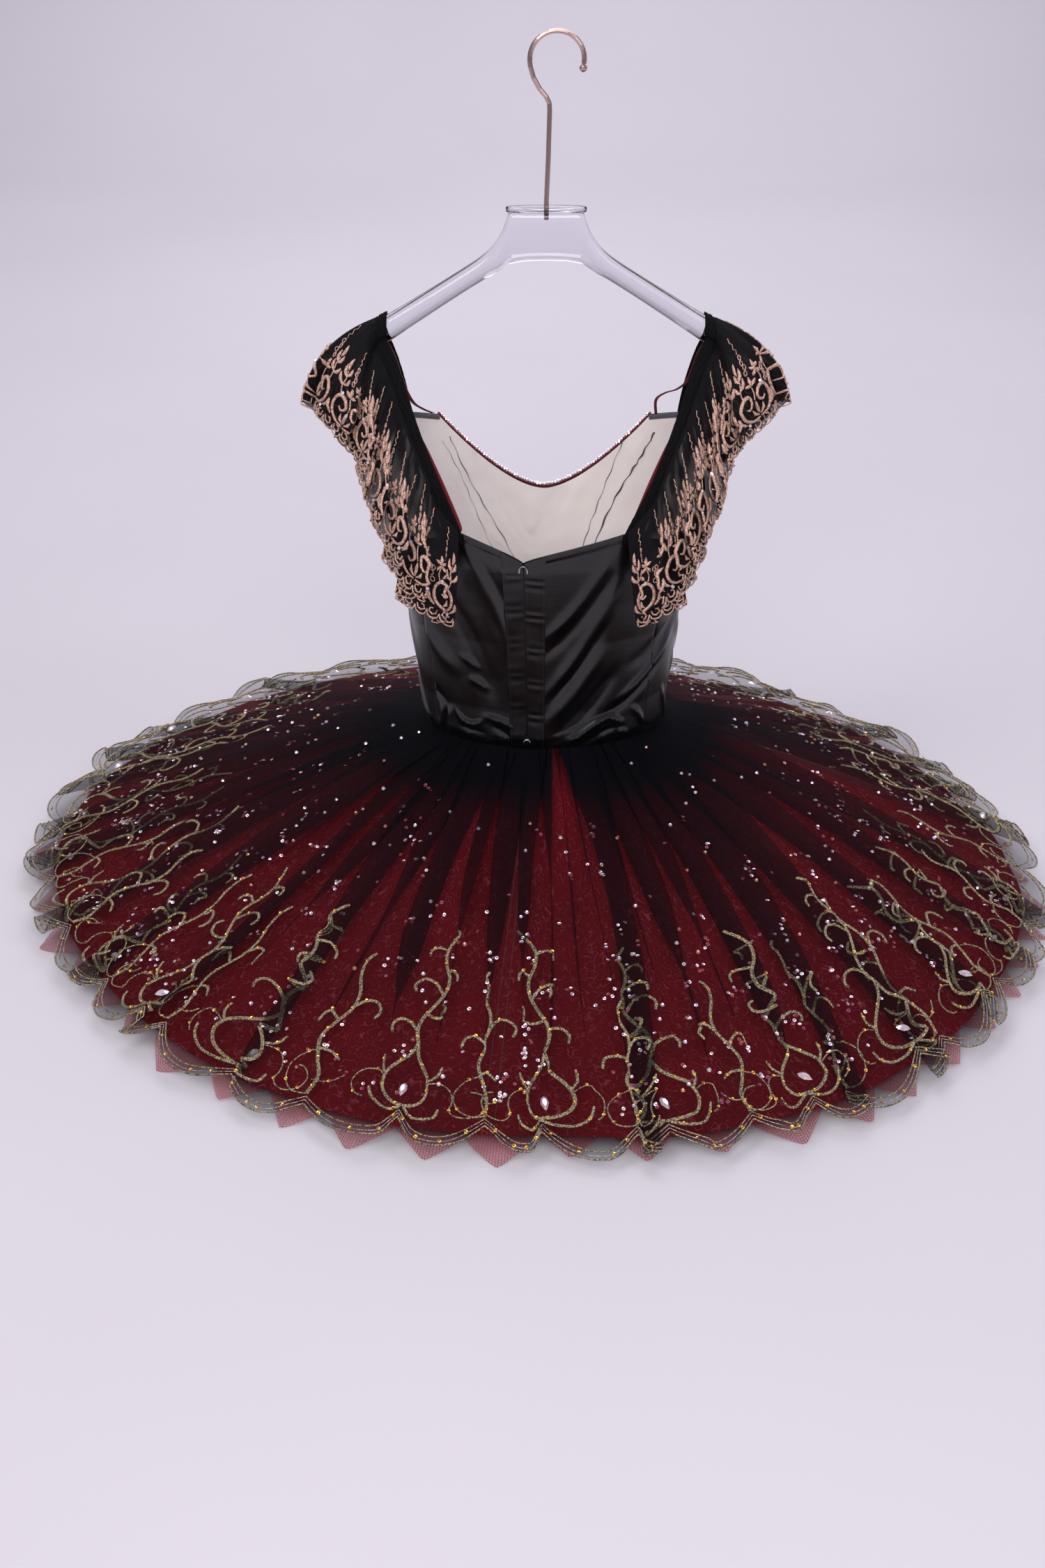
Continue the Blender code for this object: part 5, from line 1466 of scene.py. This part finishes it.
class TUTU_OT_shoulders(Operator):
    """Hang the bands, the narrow straps and the lace frills over the hanger"""
    bl_idname = "tutu.shoulders"
    bl_label = "Shoulders"

    def execute(self, context):
        settings = context.scene.tutu_lace
        band_net = plain_weave_material("gathered_black_net", "050506", "100f12", 0.85, 1.6,
                                        sheen=0.0, strength=0.8, gloss=0.1)
        velvet = plain_weave_material("burgundy_velvet_elastic", "3f0610", "7d0f20", 0.8, 1.0,
                                      sheen=0.3, gloss=0.15)
        ground = lace_net_material()
        # Lit and shaded tones of one copper thread: the set copper colour is the thread in the
        # light, and 8a6355 is its painted shade between the stitches.
        copper = thread_material("copper_rayon_cord", rgba("8a6355"), (*settings.copper, 1.0),
                                 0.42, 0.0, 1.1)
        stones = []
        for side, word in ((-1, "left"), (1, "right")):
            band = Strip(band_rows(side))

            def band_spot(across, up, band=band):
                ripple = 0.0007 * sin(up * 21 + 3 * sin(across * 60)) * sin(pi * up)
                ripple += 0.0005 * noise.noise(Vector((across * 90, up * 3, side)))
                return band.read(across, up, 0.0004 + 0.0008 * sin(pi * up) + ripple)

            mesh = cloth_mesh("gathered_band_" + word, 260, 10, band_spot,
                              (band.length, BAND_CUT), flip=side < 0, thickness=0.0006)
            piece = show("gathered_band_" + word, mesh, band_net, "shoulder_band",
                         "shoulder_band_" + word)

            strap = Strip(strap_rows(side))

            def strap_spot(across, up, strap=strap):
                return strap.read(across, lerp(0.35, 1.0, up), 0.0003 + 0.0008 * sin(pi * up))

            mesh = cloth_mesh("velvet_strap_" + word, 220, 6, strap_spot,
                              (strap.length, 2 * STRAP_HALF_WIDTH), flip=side < 0,
                              thickness=0.0007)
            show("velvet_strap_" + word, mesh, velvet, "strap", "shoulder_strap_" + word)

            frill = Frill(side)

            def ground_spot(across, up, frill=frill):
                return frill.read(across, (1 - up) * (1 - frill.notch(across)))

            flat = (frill.repeats * LACE_REPEAT * MM, LACE_FALL)
            mesh = cloth_mesh("lace_ground_" + word, 800, 22, ground_spot, flat,
                              flip=side < 0)
            for loop in mesh.uv_layers[0].data:
                loop.uv.y = LACE_FALL - loop.uv.y
            lace = show("lace_ground_" + word, mesh, ground, "lace", "lace_frill_" + word)
            embroidery = self.embroider(frill, word, settings, copper, stones, side)
        clear = glint_material("foiled_lace_crystal", "ece9f2", 0.06, 0.5, 300.0)
        show("lace_crystals", stamp_mesh("lace_crystals", cut_stone(), stones), clear, "lace")
        return {"FINISHED"}

    def embroider(self, frill, word, settings, copper, stones, side):
        """Copper cords and leaves on one frill, and where its stones go."""
        draw = random.Random(21 + side)
        repeats = frill.repeats

        paths = []
        for k in range(repeats):
            turned = k % 2

            def spot(x, y, lift=LACE_CORD_LIFT, left=k * LACE_REPEAT, turned=turned):
                along = (left + (LACE_REPEAT - x if turned else x)) / (repeats * LACE_REPEAT)
                return frill.read(clamp(along, 0.002, 0.998),
                                  1 - max(y, 0.3) * MM / LACE_FALL, lift)

            tall = draw.uniform(*LACE_GROWTH)

            def risen(y):
                return y if y < LACE_BORDER else LACE_BORDER + (y - LACE_BORDER) * tall

            for start, middle, end, points in LACE_LINES:
                reach = sum((Vector(b) - Vector(a)).length for a, b in zip(points, points[1:]))
                steps = max(int(reach / len(points) / 1.6), 1)
                track = smooth_track([Vector((x, risen(y), 0)) for x, y in points], steps)
                last = len(track) - 1
                paths.append([(spot(p.x, p.y), lerp(start, middle, sin(pi * i / last))
                               if i * 2 < last else lerp(end, middle, sin(pi * i / last)))
                              for i, p in enumerate(track)])
            for x, y in LACE_RINGS:
                paths.append([(spot(x + LACE_RING * cos(a), risen(y) + LACE_RING * sin(a)),
                               LACE_RING_CORD) for a in (tau * j / 8 for j in range(9))])
            paths.append([(spot(x, risen(y)), LACE_ZIGZAG_CORD) for x, y in LACE_ZIGZAG])
            for x, y in LACE_STONES[turned]:
                here = spot(x, y, LACE_STONE_LIFT)
                facing = (here - spot(x, y, -0.004)).normalized()
                stones.append((here, facing, draw.uniform(*LACE_STONE), 0.0))
        mesh = cord_mesh("copper_embroidery_" + word, paths, settings.cord)
        return show("copper_embroidery_" + word, mesh, copper, "lace")


class TUTU_OT_skirt(Operator):
    """Lay the net, the sequin layer and the pleated tulle with its gold embroidery"""
    bl_idname = "tutu.skirt"
    bl_label = "Skirt"

    def execute(self, context):
        settings = context.scene.tutu_skirt
        tulle = Tulle(settings.scallops)

        def tulle_spot(across, up):
            x = across * tulle.cut
            return tulle.read(x, lerp(FALL_LENGTH, -tulle.bow(x), up))

        cut = (tulle.cut, FALL_LENGTH + SCALLOP_DEPTH)
        mesh = cloth_mesh("pleated_tulle", 1300, 46, tulle_spot, cut, joined=True, flip=True)
        seam = min(range(len(TULLE_FOLDS)),
                   key=lambda i: abs(TULLE_FOLDS[i][0] - 360 - OPENING))
        slit = tulle.pleats.starts[seam] + sum(tulle.pleats.runs[seam]) / 2
        black = tulle_material((*settings.tulle, 1.0), slit)
        piece = show("pleated_tulle", mesh, black, "black_tulle", "skirt_overlay")
        trims, gold_spots = self.embroider(tulle, settings)
        trims += self.scatter(tulle, settings, gold_spots)
        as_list(trims)
        self.sequin_layer()
        self.pointed_net(settings)
        return {"FINISHED"}

    def sequin_layer(self):
        """The burgundy layer with its sewn seam, a little inside the tulle's hem."""
        def sequin_spot(across, up):
            angle = tau * across
            lift = 0.0026 * sin(18 * angle) * sin(pi * up)
            lift += 0.0014 * noise.noise(Vector((cos(angle) * 9, sin(angle) * 9, up * 5)))
            return skirt_point(angle, up, hem_reach(angle) + SEQUIN_REACH, SEQUIN_DROP, lift)

        mesh = cloth_mesh("sequin_layer", 360, 48, sequin_spot, SEQUIN_CUT, joined=True,
                          flip=True)
        piece = show("sequin_layer", mesh, sequin_net_material(), "sequin_net",
                     "skirt_sequin_layer")

        seam = []
        for turn in (RED_SEAM - 0.5, RED_SEAM + 0.7):
            seam.append([(sequin_spot(radians(turn) / tau % 1.0, lerp(0.06, 0.97, k / 60))
                          + Vector((0, 0, 0.0008 * (k % 2))), 1.0) for k in range(61)])
        thread = plain_weave_material("rose_sewing_thread", "4c1018", "80323d", 0.5, 3.0)
        show("sequin_layer_seam", cord_mesh("sequin_layer_seam", seam, 0.0004), thread,
             "sequin_net")

    def pointed_net(self, settings):
        """The lowest layer, cut in uneven points that show between the scallops."""
        draw = random.Random(3)
        points = []
        angle = 0.0
        while angle < tau:
            width = draw.uniform(*POINT_WIDTH)
            points.append((angle, width, draw.uniform(*POINT_TALL), draw.uniform(*POINT_SHIFT)))
            angle += width
        first = [point[0] for point in points]

        def net_spot(across, up):
            angle = tau * across
            start, width, tall, shift = points[bisect_right(first, angle) - 1]
            near = min(abs((angle - start) / width * 2 - 1), 1.0)
            end = NET_REACH + shift + tall * (0.4 - near)
            lift = 0.0012 * sin(23 * angle) * up
            return skirt_point(angle, up, hem_reach(angle) + end, NET_DROP, lift)

        mesh = cloth_mesh("pointed_net", 760, 24, net_spot, NET_CUT, joined=True, flip=True)
        burgundy = hexagon_net_material((*settings.net, 1.0))
        piece = show("pointed_net", mesh, burgundy, "burgundy_net", "skirt_net")

    def embroider(self, tulle, settings):
        """Corded lines along the scallops and scrolls that rise from their cusps. Gives the
        pieces and where gold sequins go, along the strip and up."""
        draw = random.Random(8)
        gold = thread_material("black_and_gold_lurex_cord", rgba("12100d"),
                               (*settings.gold, 1.0), 0.38, 0.35, 1.3)
        silver = thread_material("silver_lurex_thread", rgba("6b6770"), rgba("cfccd6"), 0.35,
                                 0.4, 1.6)
        pitch = tulle.cut / settings.scallops
        steps = 18
        edges, middles = [], []
        for k in range(settings.scallops):
            for near, far, share in (*EDGE_CORDS, SILVER_THREAD):
                line = []
                for j in range(steps + 1):
                    x = (k + j / steps * 0.999) * pitch
                    bow = tulle.bow(x)
                    up = lerp(near, far, bow / SCALLOP_DEPTH) - bow
                    line.append((tulle.read(x, up, CORD_LIFT), share))
                (middles if share == SILVER_THREAD[2] else edges).append(line)
        scrolls, gold_spots = [], []
        for k in range(settings.scallops):
            side = draw.choice((-1, 1))
            tall = draw.uniform(*(TALL_GROWTH if k % 2 else SHORT_GROWTH))
            shift = draw.uniform(-SCROLL_SHIFT, SCROLL_SHIFT)
            for wide_start, wide_end, points in (GOLD_TALL if k % 2 else GOLD_SHORT):
                bent = [Vector((side * x, y * tall + draw.uniform(-1, 1), 0)) for x, y in points]
                reach = sum((b - a).length for a, b in zip(bent, bent[1:]))
                track = smooth_track(bent, max(int(reach / len(bent) / 2.6), 1))
                last = len(track) - 1
                strands = (-0.6, 0, 0.6) if wide_start > 1 else (0,)
                for strand in strands:
                    path = []
                    for i, p in enumerate(track):
                        run = track[min(i + 1, last)] - track[max(i - 1, 0)]
                        square = Vector((-run.y, run.x, 0)).normalized()
                        half = lerp(wide_start, wide_end, i / last)
                        half *= sqrt(min((last - i + 0.3) / 1.6, 1.0))
                        q = p + square * half * 0.78 * strand
                        path.append((tulle.read(k * pitch + shift + q.x * MM, q.y * MM,
                                                SCROLL_LIFT), 1.0 if strand else 0.9))
                    scrolls.append(path)
                gold_spots += [(k * pitch + shift + p.x * MM, p.y * MM)
                               for p in track[3:last:9]]
        made = []
        for name, paths, size, finish in (
                ("gold_scallop_cords", edges, 1.0, gold),
                ("silver_scallop_thread", middles, 1.0, silver),
                ("gold_scrolls", scrolls, 0.92, gold)):
            mesh = cord_mesh(name, paths, settings.cord * size)
            made.append(show(name, mesh, finish, "black_tulle"))
        return made, gold_spots

    def scatter(self, tulle, settings, gold_spots):
        """Loose sequins, gold sequins on the cords, round stones and drops."""
        draw = random.Random(17)
        pitch = tulle.cut / settings.scallops

        def heading(spot):
            return atan2(spot.y, spot.x - CENTRE_X)

        def facing(spot, tilt):
            angle = heading(spot)
            lean = Vector((cos(angle) * 0.34, sin(angle) * 0.34, 0.94))
            return (lean + Vector([draw.uniform(-tilt, tilt) for _ in range(3)])).normalized()

        def height(crowding, share, least):
            return FALL_LENGTH * (1 - draw.random() ** crowding) * share + least

        loose, faint = [], []
        while len(loose) + len(faint) < settings.sequins:
            x = draw.uniform(0, tulle.cut)
            up = height(*LOOSE_HEIGHTS)
            for k in range(draw.choice(GROUP_SIZES)):
                spot = tulle.read(x, up, LOOSE_LIFT)
                (loose if draw.random() < BRIGHT_SHARE else faint).append(
                    (spot, facing(spot, LOOSE_TILT), draw.uniform(*LOOSE_SEQUIN),
                     draw.uniform(0, tau)))
                x += draw.gauss(0, GROUP_SPREAD)
                up = clamp(up + draw.gauss(0, GROUP_SPREAD), 0.006, FALL_LENGTH - 0.01)
        gilt = []
        for x, up in gold_spots:
            spot = tulle.read(x, up, SCROLL_SEQUIN_LIFT)
            gilt.append((spot, facing(spot, CORD_TILT), SCROLL_SEQUIN, 0.0))
        for k in range(settings.scallops * 4):
            x = (k + draw.uniform(0.2, 0.8)) * pitch / 4
            spot = tulle.read(x, 0.0060 - tulle.bow(x), EDGE_SEQUIN_LIFT)
            gilt.append((spot, facing(spot, CORD_TILT), EDGE_SEQUIN, 0.0))
        stones, pink, drops = [], [], []
        for k in range(settings.stones):
            x = draw.uniform(0, tulle.cut)
            up = height(*STONE_HEIGHTS)
            spot = tulle.read(x, up, STONE_LIFT)
            (pink if k % 3 == 0 else stones).append(
                (spot, facing(spot, STONE_TILT), draw.uniform(*ROUND_STONE),
                 draw.uniform(0, tau)))
        for k in range(1, settings.scallops, 2):
            spot = tulle.read(k * pitch, 0.030, DROP_LIFT)
            drops.append((spot, facing(spot, DROP_TILT), DROP_STONE,
                          heading(spot) - pi / 2 + draw.uniform(-0.2, 0.2)))
        made = []
        for name, shape, spots, finish in (
                ("silver_sequins", ring_sequin(), loose,
                 glint_material("iridescent_silver_sequin", "f2e6f2", 0.14, 0.7, 380.0)),
                ("rose_sequins", ring_sequin(), faint,
                 glint_material("sheer_rose_sequin", "a8606e", 0.25, 0.5, 300.0, 0.55)),
                ("gold_sequins", ring_sequin(), gilt,
                 glint_material("gold_sequin", "d0a544", 0.18, 0.9)),
                ("skirt_stones", cut_stone(), stones,
                 glint_material("foiled_round_stone", "dfd2e0", 0.05, 0.5, 420.0)),
                ("rose_gold_stones", cut_stone(), pink,
                 glint_material("foiled_rose_gold_stone", "c98e78", 0.08, 0.6, 420.0)),
                ("skirt_drops", cut_stone(1.9), drops,
                 glint_material("foiled_drop_stone", "e4d8e2", 0.05, 0.5, 470.0))):
            made.append(show(name, stamp_mesh(name, shape, spots), finish, "black_tulle"))
        return made


class TUTU_PT_panel(Panel):
    """The pieces in the order they are made"""
    bl_idname = "TUTU_PT_panel"
    bl_label = "Ballet tutu"
    bl_space_type = "VIEW_3D"
    bl_region_type = "UI"
    bl_category = "Tutu"

    def draw(self, context):
        for group, operator in PIECES:
            box = self.layout.box()
            box.operator(operator)
            settings = getattr(context.scene, group, None)
            if settings:
                for name in settings.bl_rna.properties.keys():
                    if name not in ("rna_type", "name"):
                        box.prop(settings, name)


PIECES = (("tutu_stage", "tutu.stage"), ("", "tutu.hanger"), ("tutu_bodice", "tutu.bodice"),
          ("tutu_lace", "tutu.shoulders"), ("tutu_skirt", "tutu.skirt"))
SETTINGS = (("tutu_stage", StageSettings), ("tutu_bodice", BodiceSettings),
            ("tutu_lace", LaceSettings), ("tutu_skirt", SkirtSettings))
CLASSES = (StageSettings, BodiceSettings, LaceSettings, SkirtSettings, TUTU_OT_stage,
           TUTU_OT_hanger, TUTU_OT_bodice, TUTU_OT_shoulders, TUTU_OT_skirt, TUTU_PT_panel)


def register():
    for item in CLASSES:
        bpy.utils.register_class(item)
    for name, group in SETTINGS:
        setattr(bpy.types.Scene, name, PointerProperty(type=group))


def unregister():
    for name, _ in SETTINGS:
        delattr(bpy.types.Scene, name)
    for item in reversed(CLASSES):
        bpy.utils.unregister_class(item)


def main():
    register()
    for _, operator in PIECES:
        group, action = operator.split(".")
        getattr(getattr(bpy.ops, group), action)()


if __name__ == "__main__":
    main()
